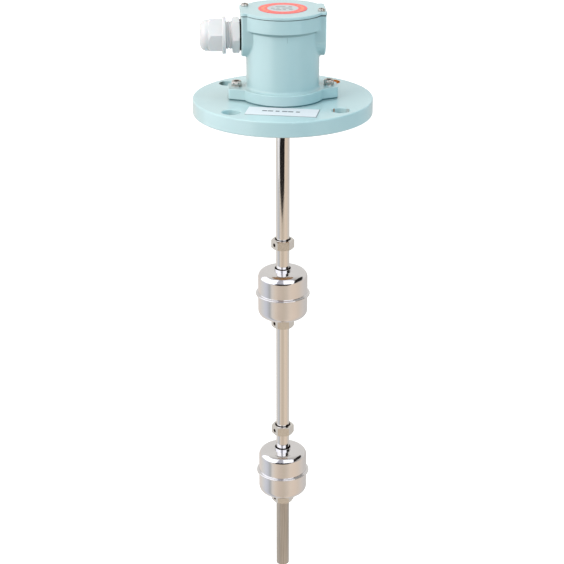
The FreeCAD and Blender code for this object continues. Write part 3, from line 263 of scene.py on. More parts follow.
class Shader(Nodes):
    """A new material round a Principled BSDF."""

    def __init__(self, name):
        self.material = bpy.data.materials.new(name)
        self.material.use_nodes = True
        super().__init__(self.material.node_tree, "Object")
        self.surface = self.tree.nodes["Principled BSDF"]

    def set(self, **values):
        """Give plain values to sockets, with an underscore for each space in their names."""
        for label, value in values.items():
            self.surface.inputs[label.replace("_", " ")].default_value = value

    def feed(self, label, source):
        """Link a socket, by its name, to what another node gives."""
        self.tree.links.new(source, self.surface.inputs[label])

    def clear_from_behind(self):
        """Let the camera look through the faces' back sides."""
        sides = self.add("MixShader")
        self.put(sides.inputs[0], self.add("NewGeometry").outputs["Backfacing"])
        self.put(sides.inputs[1], self.surface.outputs[0])
        self.put(sides.inputs[2], self.add("BsdfTransparent").outputs[0])
        self.put(self.tree.nodes["Material Output"].inputs["Surface"], sides.outputs[0])


def dress(material, *names):
    """Give CAD nodes, found by name, one material all over."""
    for name in names:
        mesh = NODES[name].data
        mesh.materials.clear()
        mesh.materials.append(material)


# ---------------------------------------------------------------- painted castings

HEAD_COAT = linear(176, 203, 205)
HEAD_SHADE = linear(170, 198, 201)
FLANGE_COAT = linear(181, 207, 209)
FLANGE_SHADE = linear(175, 202, 205)
# The coat's colour for painted shade in corners and coves, also used for the mould's mark
SHADE_AND_MARK_COAT = linear(46, 102, 108)
SEAM_SHADOW = linear(20, 42, 46)

RUST_BRIGHT = linear(214, 124, 36)
RUST_LIGHT = linear(176, 100, 34)
RUST_DARK = linear(112, 60, 22)
STAIN_LIGHT = linear(186, 134, 80)
STAIN_DARK = linear(146, 96, 48)
# Painted shadow on the wall of the left bolt hole
HOLE_SHADOW = linear(52, 72, 66)


def paint_shader(name, coat, shade):
    """Sprayed gloss paint: a faint orange peel over the casting's own slight unevenness."""
    shader = Shader(name)
    shader.set(Coat_Weight=0.8, Coat_Roughness=0.16)
    clouds = shader.noise(22, 3)
    colour = shader.cloudy(clouds, coat, shade, 0.3, 0.75)
    casting = shader.bump(shader.noise(70, 2), 0.22 * MM, 0.5)
    shader.feed("Normal", shader.bump(shader.noise(420, 2), 0.06 * MM, 0.5, over=casting))
    shader.feed("Roughness", shader.vary(clouds, 0.36, 0.46))
    return shader, colour


def lid_seam(shader, across, up):
    """The shadow between lid and head: narrow all round, and wider and darker to the right."""
    soft_edge = 0.3 * MM
    narrow = shader.within(up, LID_SEAM, 0.42 * MM, soft_edge)
    wide = shader.within(up, LID_SEAM, 0.6 * MM, soft_edge)
    right_side = shader.between(across, 22 * MM, 34 * MM)
    return shader.most(shader.times(narrow, 0.6), shader.times(wide, right_side))


def band_cove_shade(shader, across, up):
    """Painted shade in the cove under the head's band, between the bosses at its sides."""
    between_bosses = shader.between(shader.math("ABSOLUTE", across), 30 * MM, 33 * MM, 0.5, 0.0)
    return shader.times(shader.within(up, COVE_LEVEL, 1.6 * MM, 1.2 * MM), between_bosses)


def mould_mark(shader, across, depth, up):
    """The short upright line that the mould's joint left on the front of the head."""
    line = shader.within(across, 2.2 * MM, 0.35 * MM, 0.5 * MM)
    part_way = shader.within(up, MOULD_MARK_LEVEL, 2.5 * MM, 2 * MM)
    front = shader.between(depth, -20 * MM, -10 * MM, 0.3, 0.0)
    return shader.times(line, part_way, front)


def make_head_paint():
    """The head's paint: painted shade in corners and the cove, a dark line at the mould's joint, painted
    shadow in the lid's seam.
    """
    shader, colour = paint_shader("head_paint", HEAD_COAT, HEAD_SHADE)
    across, depth, up = (shader.coordinate(axis) for axis in range(3))
    # Painted shade: the paint is darkened in narrow corners and in the cove under the band
    corners = shader.times(shader.crevice(2.5 * MM), 0.35)
    shade_and_mark = shader.most(band_cove_shade(shader, across, up), mould_mark(shader, across, depth, up), corners)
    colour = shader.mix(shade_and_mark, colour, SHADE_AND_MARK_COAT)
    shader.feed("Base Color", shader.mix(lid_seam(shader, across, up), colour, SEAM_SHADOW))
    return shader.material


def hole_stain_and_shadow(shader, colour, side, depth):
    """Rust on the wall of a right bolt hole, or a painted shadow on that of a left one.

    The side is 1 for right and -1 for left, and the depth 1 for back and -1 for front.
    """
    leg = BOLT_CIRCLE / 2 * math.cos(math.radians(45))
    off_x = shader.math("SUBTRACT", shader.coordinate(0), side * leg)
    off_y = shader.math("SUBTRACT", shader.coordinate(1), depth * leg)
    wall = shader.below(shader.length(off_x, off_y), BOLT_RADIUS + 0.2 * MM, 0.5 * MM)
    patches = shader.noise(260, 4, 0.65)
    # A left hole gets a painted shadow on its wall, a right one rust
    if side < 0:
        tint = HOLE_SHADOW
        share = shader.between(off_x, -0.8 * BOLT_RADIUS, -0.2 * BOLT_RADIUS, 0.9, 0.0)
    elif depth > 0:
        tint = shader.cloudy(patches, RUST_BRIGHT, RUST_DARK, 0.5, 0.7)
        share = shader.between(patches, 0.15, 0.3, 0.3, 1.0)
    else:
        tint = shader.cloudy(patches, RUST_LIGHT, RUST_DARK, 0.4, 0.6)
        stripe = shader.within(off_x, -0.66 * BOLT_RADIUS, 0.09 * BOLT_RADIUS, 0.5 * MM)
        right_edge = shader.between(off_x, 0.5 * BOLT_RADIUS, 0.9 * BOLT_RADIUS)
        specks = shader.between(patches, 0.4, 0.6, 0.0, 0.6)
        share = shader.most(shader.times(stripe, 0.85), shader.times(right_edge, specks))
    return shader.mix(shader.times(wall, share), colour, tint)


def make_flange_paint():
    """The flange's paint: rust in two bolt holes, painted shadow in a third, painted shade in corners; left
    off the sealing face underneath.
    """
    shader, colour = paint_shader("flange_paint", FLANGE_COAT, FLANGE_SHADE)
    for side, depth in ((1, 1), (1, -1), (-1, 1)):
        colour = hole_stain_and_shadow(shader, colour, side, depth)
    # Painted shade in the flange's corners
    colour = shader.mix(shader.times(shader.crevice(3 * MM), 0.45), colour, SHADE_AND_MARK_COAT)
    underside = shader.below(shader.coordinate(2), 0.25 * MM, 0.2 * MM)
    stains = shader.cloudy(shader.noise(45, 6, 0.7), STAIN_LIGHT, STAIN_DARK, 0.3, 0.72)
    shader.feed("Base Color", shader.mix(underside, colour, stains))
    return shader.material


# ---------------------------------------------------------------- metals

STEEL = linear(230, 228, 226)
DULL_LIGHT = linear(196, 186, 176)
DULL_DARK = linear(170, 160, 148)
FLOAT_SHEET = linear(232, 231, 233)
FLOAT_SHADE = linear(227, 226, 228)
STOP_LIGHT = linear(232, 229, 225)
STOP_SHADE = linear(216, 213, 209)
SCREW_GREY = linear(206, 202, 196)
SCREW_BLACK = linear(66, 52, 44)
CAP_GREY = linear(196, 192, 186)
SOCKET_BROWN = linear(84, 34, 24)
# Steel's colour for painted shade in bores, mouths and corners
STEEL_IN_SHADE = linear(44, 36, 32)
BRASS_YELLOW = linear(214, 178, 96)


def make_stem_steel():
    """Polished tube that turns dull and streaked below the lower float."""
    shader = Shader("stem_steel")
    streaks = shader.noise(900, 3, 0.6, shader.shifted(stretch=(1, 1, 60)))
    dull = shader.below(shader.coordinate(2), DULL_START - 4 * MM, 8 * MM)
    dull_colour = shader.cloudy(streaks, DULL_LIGHT, DULL_DARK, 0.35, 0.65)
    shader.feed("Base Color", shader.mix(dull, STEEL, dull_colour))
    shader.feed("Metallic", shader.between(dull, 0.0, 1.0, 1.0, 0.7))
    polished = shader.vary(streaks, 0.05, 0.10)
    shader.feed("Roughness", shader.math("ADD", polished, shader.times(dull, 0.30)))
    shader.feed("Normal", shader.bump(shader.times(streaks, dull), 0.02 * MM, 0.25))
    return shader.material


def make_float_steel():
    """Pressed sheet with the faint rings that polishing leaves, and painted shade in the sleeve's bore."""
    shader = Shader("float_steel")
    shader.set(Metallic=1.0)
    rings = shader.noise(500, 2, 0.5, shader.shifted(stretch=(40, 40, 1)))
    clouds = shader.noise(30, 2)
    # Painted shade down the sleeve's bore, between sleeve and stem
    bore = shader.below(shader.reach(), SLEEVE_BORE + SLEEVE_MOUTH, 0.1 * MM)
    shader.feed("Base Color", shader.mix(bore, shader.cloudy(clouds, FLOAT_SHEET, FLOAT_SHADE), STEEL_IN_SHADE))
    shader.feed("Roughness", shader.vary(rings, 0.085, 0.125))
    sheet = shader.bump(clouds, 0.02 * MM, 0.1)
    shader.feed("Normal", shader.bump(rings, 0.01 * MM, 0.2, over=sheet))
    return shader.material


def make_stop_steel():
    """Turned collar, with painted shade in the bevelled mouth where the stem passes through."""
    shader = Shader("stop_steel")
    shader.set(Metallic=1.0)
    grain = shader.noise(1400, 2)
    # Painted shade in the collar's mouth, round the stem
    mouth = shader.below(shader.reach(), STEM_RADIUS + STOP_MOUTH, 0.25 * MM)
    shader.feed("Base Color", shader.mix(mouth, shader.cloudy(grain, STOP_LIGHT, STOP_SHADE), STEEL_IN_SHADE))
    shader.feed("Roughness", shader.vary(grain, 0.10, 0.18))
    shader.feed("Normal", shader.bump(grain, 0.01 * MM, 0.3))
    return shader.material


def make_turned_metal(name, colour, roughness, shade_in_corners=0.0):
    """Turned or rolled metal of small pieces, with as much painted shade in its corners as asked for."""
    shader = Shader(name)
    shader.set(Metallic=1.0)
    grain = shader.noise(1400, 2)
    colour = shader.cloudy(grain, colour, darker(colour, 0.86))
    # Painted shade in corners, from an ambient occlusion mask
    if shade_in_corners:
        colour = shader.mix(shader.times(shader.crevice(1.5 * MM), shade_in_corners), colour, STEEL_IN_SHADE)
    shader.feed("Base Color", colour)
    shader.feed("Roughness", shader.vary(grain, roughness * 0.8, roughness * 1.3))
    shader.feed("Normal", shader.bump(grain, 0.01 * MM, 0.3))
    return shader.material


def make_cap_steel():
    """Cap screw steel, with painted shade in its corners and stained brown down in the sockets."""
    shader = Shader("cap_steel")
    shader.set(Metallic=1.0, Roughness=0.2)
    top = SCREWS_HIGH.z
    sunk = shader.below(shader.coordinate(2), top - 1.6 * MM, 1.4 * MM)
    across = shader.math("SUBTRACT", shader.math("ABSOLUTE", shader.coordinate(0)), SCREW_SPREAD)
    inside = shader.below(shader.length(across, shader.coordinate(1)), 3.0 * MM, 0.4 * MM)
    tint = shader.times(sunk, inside)
    # Painted shade in the screws' corners, from an ambient occlusion mask
    shaded_in_corners = shader.mix(shader.crevice(1.2 * MM), CAP_GREY, STEEL_IN_SHADE)
    shader.feed("Base Color", shader.mix(tint, shaded_in_corners, SOCKET_BROWN))
    shader.feed("Metallic", shader.between(tint, 0.0, 1.0, 1.0, 0.2))
    return shader.material


# ---------------------------------------------------------------- plastics, rubber, glass and print

NYLON_WHITE = linear(214, 212, 212)
BLOCK_CREAM = linear(214, 214, 206)
LEAD_RED = linear(186, 40, 34)
FERRITE_GREY = linear(46, 46, 50)
GASKET_BLUE = linear(88, 128, 134)
RUBBER_BLACK = linear(10, 11, 11)
RUBBER_SHADE = linear(18, 20, 20)
GLASS_CLEAR = linear(214, 236, 226)
GLASS_TINT = linear(200, 228, 216)
BOARD_GREEN = linear(34, 96, 58)
BOARD_SHADE = linear(24, 80, 48)
TRACK_COLOUR = linear(120, 150, 70)

CORAL = linear(248, 62, 62)
CORAL_SHADE = linear(244, 76, 72)
GOLD_PRINT = linear(232, 178, 84)
LABEL_GREY = linear(186, 192, 193)
LABEL_PRINT = linear(84, 90, 94)
STICKER_WHITE = linear(222, 223, 227)
STICKER_PRINT = linear(40, 44, 54)
# Painted shadow along the sticker's right end and front edge
STICKER_SHADOW = linear(84, 92, 98)


# Waves that break the print into dashes: how many go round the ring, and the others' radians in a metre
RING_DASHES = 22
RULE_BEAT, RULE_DRIFT = 1050, 410
STICKER_BEAT, STICKER_DRIFT = 950, 330
PRINT_EDGE = 0.4 * MM


def make_plastic(name, colour, roughness, depth=0.02 * MM, scatter=0.0):
    """Moulded plastic with a fine texture."""
    shader = Shader(name)
    shader.set(Subsurface_Weight=scatter)
    if scatter:
        shader.set(Subsurface_Scale=2 * MM)
    grain = shader.noise(1100, 2)
    shader.feed("Base Color", shader.cloudy(shader.noise(45, 2), colour, darker(colour, 0.95)))
    shader.feed("Roughness", shader.vary(grain, roughness * 0.85, roughness * 1.15))
    shader.feed("Normal", shader.bump(grain, depth, 0.35))
    return shader.material


def make_rubber():
    """Black rubber with a fine grain."""
    shader = Shader("gasket_rubber")
    shader.set(Roughness=0.85, Specular_IOR_Level=0.2)
    grain = shader.noise(1500, 3)
    shader.feed("Base Color", shader.cloudy(grain, RUBBER_BLACK, RUBBER_SHADE))
    shader.feed("Normal", shader.bump(grain, 0.04 * MM, 0.4))
    return shader.material


def make_glass():
    """Faintly green glass of the reed capsules."""
    shader = Shader("reed_glass")
    shader.set(Roughness=0.03, Transmission_Weight=1.0, IOR=1.5)
    shader.feed("Base Color", shader.cloudy(shader.noise(200, 1), GLASS_CLEAR, GLASS_TINT))
    return shader.material


def make_board():
    """Green laminate with two copper tracks under the varnish."""
    shader = Shader("board_laminate")
    shader.set(Roughness=0.35, Coat_Weight=0.3)
    weave = shader.noise(1200, 1)
    track = shader.within(shader.math("ABSOLUTE", shader.coordinate(0)), 2.4 * MM, 0.4 * MM, 0.1 * MM)
    shader.feed("Base Color", shader.mix(track, shader.cloudy(weave, BOARD_GREEN, BOARD_SHADE), TRACK_COLOUR))
    shader.feed("Normal", shader.bump(weave, 0.01 * MM, 0.3))
    return shader.material


def label_ring(shader, grain):
    """The label's coral ring, with gold dashes that fade towards the front and the back."""
    across, along = shader.coordinate(0), shader.coordinate(1)
    angle = shader.math("ARCTAN2", along, across)
    dashes = shader.between(shader.wave(angle, RING_DASHES), 0.1, 0.4)
    row = shader.within(shader.reach(), (LABEL_RADIUS + CENTRE_RADIUS) / 2, 1.5 * MM, PRINT_EDGE)
    sides = shader.between(shader.math("ABSOLUTE", across), LABEL_RADIUS * 0.45, LABEL_RADIUS * 0.75)
    ink = shader.times(dashes, row, shader.between(sides, 0.0, 1.0, 0.15, 0.8))
    return shader.mix(ink, shader.cloudy(grain, CORAL, CORAL_SHADE), GOLD_PRINT)


def label_centre(shader):
    """The label's grey centre, with three rules that are broken into uneven dashes."""
    spacing, half_width = 6.6 * MM, 1.4 * MM
    across, along = shader.coordinate(0), shader.coordinate(1)
    rules = [shader.within(along, line * spacing, half_width, PRINT_EDGE) for line in (-1, 0, 1)]
    beat = shader.wave(across, RULE_BEAT)
    drift = shader.wave(shader.math("ADD", across, along), RULE_DRIFT)
    dashes = shader.between(shader.math("ADD", beat, drift), -0.9, -0.4)
    inside = shader.below(shader.reach(), CENTRE_RADIUS * 0.74, CENTRE_RADIUS * 0.04)
    return shader.mix(shader.times(shader.most(*rules), dashes, inside, 0.85), LABEL_GREY, LABEL_PRINT)


def make_label():
    """Coral ring round a grey centre, both of them with print on them."""
    shader = Shader("label_plastic")
    shader.set(Roughness=0.3, Coat_Weight=0.2)
    grain = shader.noise(600, 2)
    on_ring = shader.between(shader.reach(), CENTRE_RADIUS - 0.1 * MM, CENTRE_RADIUS + 0.1 * MM)
    shader.feed("Base Color", shader.mix(on_ring, label_centre(shader), label_ring(shader, grain)))
    shader.feed("Normal", shader.bump(grain, 0.01 * MM, 0.2))
    return shader.material


def sticker_print(shader, along, across):
    """One short row of uneven dashes, a little behind the sticker's middle."""
    row = shader.within(across, 1.6 * MM, 1.6 * MM, PRINT_EDGE)
    length = shader.within(along, -1 * MM, 19 * MM, PRINT_EDGE)
    beat = shader.wave(along, STICKER_BEAT)
    drift = shader.times(shader.wave(along, STICKER_DRIFT), 0.4)
    dashes = shader.between(shader.math("ADD", beat, drift), -0.65, -0.45)
    return shader.times(row, length, dashes, 0.9)


def sticker_edge_shadow(shader, along, across):
    """Painted shadow at the sticker's edge, as far as it shows at the right end and along the front."""
    right_end, front_side = STICKER_LENGTH / 2, -STICKER_WIDTH / 2
    right = shader.between(along, right_end - 1.0 * MM, right_end - 0.6 * MM)
    front = shader.between(across, front_side + 1.6 * MM, front_side + 1.2 * MM)
    return shader.times(shader.most(right, shader.times(front, 0.7)), 0.8)


def make_sticker():
    """White sticker with one short row of dark dashes and a painted shadow along its edge."""
    shader = Shader("sticker_plastic")
    shader.set(Roughness=0.35)
    centre = (STICKER_LOW + STICKER_HIGH) / 2
    local = shader.shifted((centre.x, centre.y, 0), STICKER_TURN)
    along, across = shader.coordinate(0, local), shader.coordinate(1, local)
    printed = shader.mix(sticker_print(shader, along, across), STICKER_WHITE, STICKER_PRINT)
    # Painted shadow along the sticker's right end and front edge
    shader.feed("Base Color", shader.mix(sticker_edge_shadow(shader, along, across), printed, STICKER_SHADOW))
    shader.feed("Normal", shader.bump(shader.noise(300, 2), 0.02 * MM, 0.3))
    return shader.material


# ---------------------------------------------------------------- which piece wears what

FLOAT_STEEL = make_float_steel()
SCREW_STEEL = make_turned_metal("screw_steel", SCREW_GREY, 0.25)
CAP_STEEL = make_cap_steel()
BRASS = make_turned_metal("terminal_brass", BRASS_YELLOW, 0.3)
NYLON = make_plastic("gland_nylon", NYLON_WHITE, 0.36, scatter=0.1)

dress(make_head_paint(), "head_housing", "lid")
dress(make_flange_paint(), "flange")
dress(make_stem_steel(), "stem_tube", "stem_end_plug")
dress(make_stop_steel(), *(name for name in NODES if name.endswith("_stop")))
dress(FLOAT_STEEL, *(name for name in NODES if name.endswith(("_shell", "_sleeve"))))
dress(make_turned_metal("bright_screw", SCREW_GREY, 0.12, shade_in_corners=1.0), "lid_screws")
dress(make_turned_metal("black_screw", SCREW_BLACK, 0.35), "stop_grub_screws")
dress(SCREW_STEEL, "base_screws", "base_washers", "reed_blades", "terminal_screws",
      "terminal_fixing_screws", "earth_washer", "upper_float_clips", "lower_float_clips")
dress(BRASS, "terminal_clamps", "earth_screw")
dress(make_plastic("gasket_sheet", GASKET_BLUE, 0.6), "base_gasket")
dress(make_rubber(), "lid_gasket", "gland_washer", "gland_seal")
dress(NYLON, "gland_body", "gland_nut", "gland_slip_ring")
dress(make_label(), "lid_label")
dress(make_sticker(), "flange_label")
dress(make_board(), "reed_board")
dress(make_glass(), "reed_capsules")
dress(make_plastic("terminal_plastic", BLOCK_CREAM, 0.45), "terminal_block")
dress(make_plastic("lead_insulation", LEAD_RED, 0.4), "lead_wires")
dress(make_plastic("magnet_ferrite", FERRITE_GREY, 0.6, depth=0.05 * MM),
      "upper_float_magnet", "lower_float_magnet")


# ---------------------------------------------------------------- pieces that take over from plain solids

SMOOTH_BELOW = math.radians(28)
TURNED_STEPS = 96
ARC_STEPS = 5


def upright(offset=0.0):
    """Put a turned form's points round an upright axis, to the right of the stem's by an offset."""
    def at(reach, angle, height):
        return (offset + reach * math.cos(angle), reach * math.sin(angle), height)

    return at


def lathe(rows, at, steps, start=0.0, into=None):
    """A turned form: each row is a radius, which may vary with the angle, and a height along the axis.

    at() puts a point in the frame. The rows run round the section, and the last is joined to the first.
    """
    form = into or bmesh.new()
    angles = [start + 2 * math.pi * step / steps for step in range(steps)]
    rings = []
    for radius, height in rows:
        reaches = [radius(angle, height) if callable(radius) else radius for angle in angles]
        rings.append([form.verts.new(at(reach, angle, height)) for reach, angle in zip(reaches, angles)])
    for ring, following in zip(rings, rings[1:] + rings[:1]):
        for step in range(steps):
            ahead = (step + 1) % steps
            form.faces.new((ring[step], ring[ahead], following[ahead], following[step]))
    return form


def make_object(name, form, material):
    """Turn a finished form into an object of the scene."""
    mesh = bpy.data.meshes.new(name)
    form.to_mesh(mesh)
    form.free()
    mesh.materials.append(material)
    item = bpy.data.objects.new(name, mesh)
    bpy.context.scene.collection.objects.link(item)
    return item


def make_piece(name, form, material, node, body="head_and_stem"):
    """Turn a finished form into a piece that rides on its node's body in place of the plain solid."""
    bmesh.ops.remove_doubles(form, verts=form.verts, dist=0.001 * MM)
    bmesh.ops.recalc_face_normals(form, faces=form.faces)
    piece = make_object(name, form, material)
    piece.data.shade_smooth()
    bpy.context.view_layer.objects.active = piece
    piece.select_set(True)
    bpy.ops.object.shade_smooth_by_angle(angle=SMOOTH_BELOW)
    piece.select_set(False)
    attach(piece, body)
    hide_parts(node)
    return piece


def arc(reach, height, radius, first, last):
    """Rows along an arc round a centre, between two angles in degrees up from straight out."""
    turns = [math.radians(first + (last - first) * step / ARC_STEPS) for step in range(ARC_STEPS + 1)]
    return [(reach + radius * math.cos(turn), height + radius * math.sin(turn)) for turn in turns]


def hexagon(flats, turn):
    """Radius of a hexagon of a given size over its flats, at any angle."""
    sixth = math.pi / 3

    def radius(angle, height):
        return flats / 2 / math.cos((angle - turn) % sixth - sixth / 2)

    return radius


def smaller(radius, limit):
    """A radius that varies with the angle, held under a limit."""
    return lambda angle, height: min(radius(angle, height), limit)


GLAND_BORE = 9.5 * MM
GLAND_SPIGOT = 12.4 * MM
GLAND_SPIGOT_TIP = 11.8 * MM
GLAND_FLATS = 31 * MM
GLAND_TURN = math.radians(25)
GLAND_NECK = 13.5 * MM
GLAND_MOUTH = 10.62 * MM
MOUTH_FLOOR = 12 * MM
HEXAGON_START = 1.6 * MM
HEXAGON_END = 8.6 * MM
THREAD_PITCH = 3 * MM
THREAD_DEPTH = 0.9 * MM
THREAD_ROWS = 48


def make_gland_body():
    """Gland body with its hexagon and the coarse thread that the nut runs on."""
    spigot_end, neck_end = -(GLAND_HIGH.x + BOSS_FACE), -GLAND_LOW.x - BOSS_FACE
    neck_length = neck_end - HEXAGON_END
    corner = GLAND_FLATS / 2 / math.cos(math.pi / 6)
    six = hexagon(GLAND_FLATS, GLAND_TURN)
    bevel = [(smaller(six, corner - 1.3 * MM), 0.0), (smaller(six, corner - 0.6 * MM), 0.4 * MM)]
    bevel += [(six, 1.2 * MM)]

    def at(reach, angle, height):
        return (-BOSS_FACE - height, reach * math.sin(angle), GLAND_AXIS + reach * math.cos(angle))

    def thread(angle, height):
        run_in, run_out = (height - HEXAGON_END) / THREAD_PITCH * 2, (neck_end - height) / THREAD_PITCH * 2
        wave = 0.5 + 0.5 * math.cos(2 * math.pi * height / THREAD_PITCH - angle)
        return GLAND_NECK - THREAD_DEPTH * min(1.0, run_in, run_out) * (1 - wave ** 0.7)

    rows = [(GLAND_BORE, spigot_end), (GLAND_SPIGOT_TIP, spigot_end)]
    rows += [(GLAND_SPIGOT, spigot_end + 0.6 * MM), (GLAND_SPIGOT, HEXAGON_START)]
    rows += [(radius, HEXAGON_START + rise) for radius, rise in bevel]
    rows += [(radius, HEXAGON_END - rise) for radius, rise in reversed(bevel)]
    rows += [(thread, HEXAGON_END + neck_length * row / THREAD_ROWS) for row in range(THREAD_ROWS + 1)]
    rows += [(GLAND_MOUTH, neck_end), (GLAND_MOUTH, MOUTH_FLOOR), (GLAND_BORE, MOUTH_FLOOR)]
    gland = lathe(rows, at, TURNED_STEPS, GLAND_TURN)
    make_piece("gland_body_threaded", gland, NYLON, "gland_body")


def make_sleeve(place):
    """Float sleeve with a rolled lip and a flared mouth at each end."""
    node = place + "_float_sleeve"
    low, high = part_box(node)
    lip_centre, mouth = high.x - SLEEVE_LIP, SLEEVE_BORE + SLEEVE_MOUTH
    rows = [(SLEEVE_BORE, low.z + SLEEVE_MOUTH), (mouth, low.z)]
    rows += arc(lip_centre, low.z + SLEEVE_LIP, SLEEVE_LIP, -90, 0)
    rows += arc(lip_centre, high.z - SLEEVE_LIP, SLEEVE_LIP, 0, 90)
    rows += [(mouth, high.z), (SLEEVE_BORE, high.z - SLEEVE_MOUTH)]
    sleeve = lathe(rows, upright(), TURNED_STEPS)
    make_piece(place + "_rolled_sleeve", sleeve, FLOAT_STEEL, node, place + "_float")


SHANK = 3 * MM
SHANK_TIP = 2.5 * MM
SOCKET_FLATS = 5 * MM
SOCKET_RIM = 3.2 * MM
KNURL_DEPTH = 0.16 * MM
KNURLS = 72


def make_cap_screws():
    """Knurled cap screws with a hexagonal socket."""
    foot, top = SCREWS_LOW.z, SCREWS_HIGH.z
    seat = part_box("base_washers")[1].z
    socket = hexagon(SOCKET_FLATS, 0)
    valley = SCREW_HEAD - KNURL_DEPTH

    def knurl(angle, height):
        return SCREW_HEAD - KNURL_DEPTH * (round(angle / math.pi * KNURLS) % 2)

    rows = [(0.0, foot), (SHANK_TIP, foot), (SHANK, foot + 0.5 * MM), (SHANK, seat)]
    rows += [(SCREW_HEAD - 0.3 * MM, seat), (valley, seat + 0.3 * MM), (knurl, seat + 0.5 * MM)]
    rows += [(knurl, top - 1.0 * MM), (valley, top - 0.8 * MM), (SCREW_HEAD - 0.3 * MM, top - 0.35 * MM)]
    rows += [(SCREW_HEAD - 0.8 * MM, top), (SOCKET_RIM, top), (socket, top - 0.25 * MM)]
    rows += [(socket, top - 2 * MM), (0.0, top - 2.4 * MM)]
    form = None
    for side in (-1, 1):
        form = lathe(rows, upright(side * SCREW_SPREAD), 2 * KNURLS, into=form)
    make_piece("cap_screws", form, CAP_STEEL, "base_screws")


WASHER_BORE = 3.1 * MM
WASHER_GAP = math.radians(8)
WASHER_SLANT = math.radians(12)
WASHER_STEPS = 60


def make_spring_washers():
    """Split spring washers, each cut through at a slant."""
    low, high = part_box("base_washers")
    outer = high.y
    spread = high.x - outer
    section = ((WASHER_BORE, low.z, 0), (outer, low.z, 0), (outer, high.z, 1), (WASHER_BORE, high.z, 1))
    form = bmesh.new()
    for side, cut_at in ((-1, -60), (1, -140)):
        at = upright(side * spread)
        start = math.radians(cut_at) + WASHER_GAP / 2
        rings = []
        for step in range(WASHER_STEPS + 1):
            angle = start + (2 * math.pi - WASHER_GAP) * step / WASHER_STEPS
            rings.append([form.verts.new(at(reach, angle + WASHER_SLANT * lean, height))
                          for reach, height, lean in section])
        for first, second in zip(rings, rings[1:]):
            for corner in range(4):
                ahead = (corner + 1) % 4
                form.faces.new((first[corner], first[ahead], second[ahead], second[corner]))
        form.faces.new(rings[0])
        form.faces.new(list(reversed(rings[-1])))
    make_piece("spring_washers", form, SCREW_STEEL, "base_washers")


make_gland_body()
make_sleeve("upper")
make_sleeve("lower")
make_cap_screws()
make_spring_washers()


# ---------------------------------------------------------------- floor, light and camera

FLOOR_DROP = 0.16
FLOOR_LEVEL = STEM_FOOT - FLOOR_DROP
FLOOR_SIZE = 40
FLOOR_WHITE = grey(0.95)
FLOOR_COLOUR = grey(0.35)
FLOOR_GLOW = (0.43, 0.46, 0.47)
WAVER = 5

# What polished steel mirrors low down, by degrees round the stem from the front, as the colour it then shows
MIRRORED = (
    (-180, (208, 202, 197)), (-139, (212, 201, 191)), (-126, (209, 202, 193)), (-108, (205, 203, 200)),
    (-92, (199, 199, 203)), (-80, (190, 190, 195)), (-67, (166, 166, 164)), (-54, (208, 199, 189)),
    (-38, (209, 193, 175)), (-20, (196, 179, 162)), (0, (191, 176, 158)), (15, (198, 183, 166)),
    (32, (213, 196, 178)), (52, (213, 194, 175)), (75, (206, 190, 173)), (98, (203, 193, 183)),
    (120, (195, 189, 183)), (150, (191, 185, 179)), (180, (208, 202, 197)))


def behind_steel(colour):
    """What the steel has to mirror so that it shows an sRGB colour."""
    return tuple(min(1.0, seen / own) for seen, own in zip(linear(*colour), STEEL))


def make_floor():
    """A white floor, clear from underneath, in which steel mirrors the tinted sides of the room."""
    bpy.ops.mesh.primitive_plane_add(size=FLOOR_SIZE, location=(0, 0, FLOOR_LEVEL))
    floor = bpy.context.object
    floor.name = "floor"
    shader = Shader("floor_white")
    shader.set(Roughness=1.0, Specular_IOR_Level=0.0, Emission_Strength=1.0)
    toward = shader.times(shader.coordinate(1), -1.0)
    angle = shader.math("DEGREES", shader.math("ARCTAN2", shader.coordinate(0), toward))
    waver = shader.between(shader.noise(2.5, 2), 0.0, 1.0, -WAVER, WAVER, smooth=False)
    stops = [(at, behind_steel(colour)) for at, colour in MIRRORED]
    mirrored = shader.ramp(shader.math("ADD", angle, waver), -180, 180, stops)
    shader.feed("Emission Color", shader.by_ray(FLOOR_WHITE, FLOOR_GLOW, mirrored))
    shader.feed("Base Color", shader.by_ray(FLOOR_COLOUR, FLOOR_COLOUR, grey(0.0)))
    shader.clear_from_behind()
    floor.data.materials.append(shader.material)


SCREEN_REACH = 1.2
SCREEN_STEP = 5
SIDE_TOP = -0.385
FRONT_TOP = -0.12
WINDOW_WHITE = (1.45, 1.47, 1.55)

# What steel mirrors in front and at the sides: a dark shape low in front with a light card to its left,
# bright windows over them with a bar between, and a dark patch to the right. Each outline gives, for some
# degrees round the stem from the front, the card's lowest and highest points.
SCREENS = (
    ("dark_screen", (0.018, 0.016, 0.015),
     ((-60, -0.40, SIDE_TOP), (-49, -0.492, SIDE_TOP), (-40, -0.514, SIDE_TOP), (-34, -0.525, FRONT_TOP),
      (-28, -0.532, FRONT_TOP), (-14, -0.552, FRONT_TOP), (3, -0.532, FRONT_TOP), (15, -0.51, FRONT_TOP),
      (24, -0.492, FRONT_TOP), (28, -0.40, FRONT_TOP), (34, -0.385, FRONT_TOP))),
    ("left_screen", (0.98, 0.98, 1.0),
     ((-90, -0.47, SIDE_TOP), (-60, -0.47, SIDE_TOP))),
    ("left_window", WINDOW_WHITE,
     ((-118, SIDE_TOP, 1.0), (-78, SIDE_TOP, 1.1), (-55, SIDE_TOP, 1.5), (-40, SIDE_TOP, 1.9),
      (-34, FRONT_TOP, 2.0), (-30, FRONT_TOP, 2.0))),
    ("window_bar", (0.50, 0.50, 0.55),
     ((-30, FRONT_TOP, 2.0), (0, FRONT_TOP, 2.0))),
    ("right_window", WINDOW_WHITE,
     ((0, FRONT_TOP, 2.0), (20, FRONT_TOP, 2.0), (40, -0.2, 1.6), (46, -0.2, 1.3), (56, 0.62, 1.0))),
    ("right_screen", (0.02, 0.018, 0.016),
     ((46, -0.25, -0.2), (54, -0.20, 0.35), (60, -0.15, 0.65), (72, 0.0, 0.78), (93, -0.07, 0.85),
      (104, 0.10, 0.70), (113, 0.35, 0.55))),
)


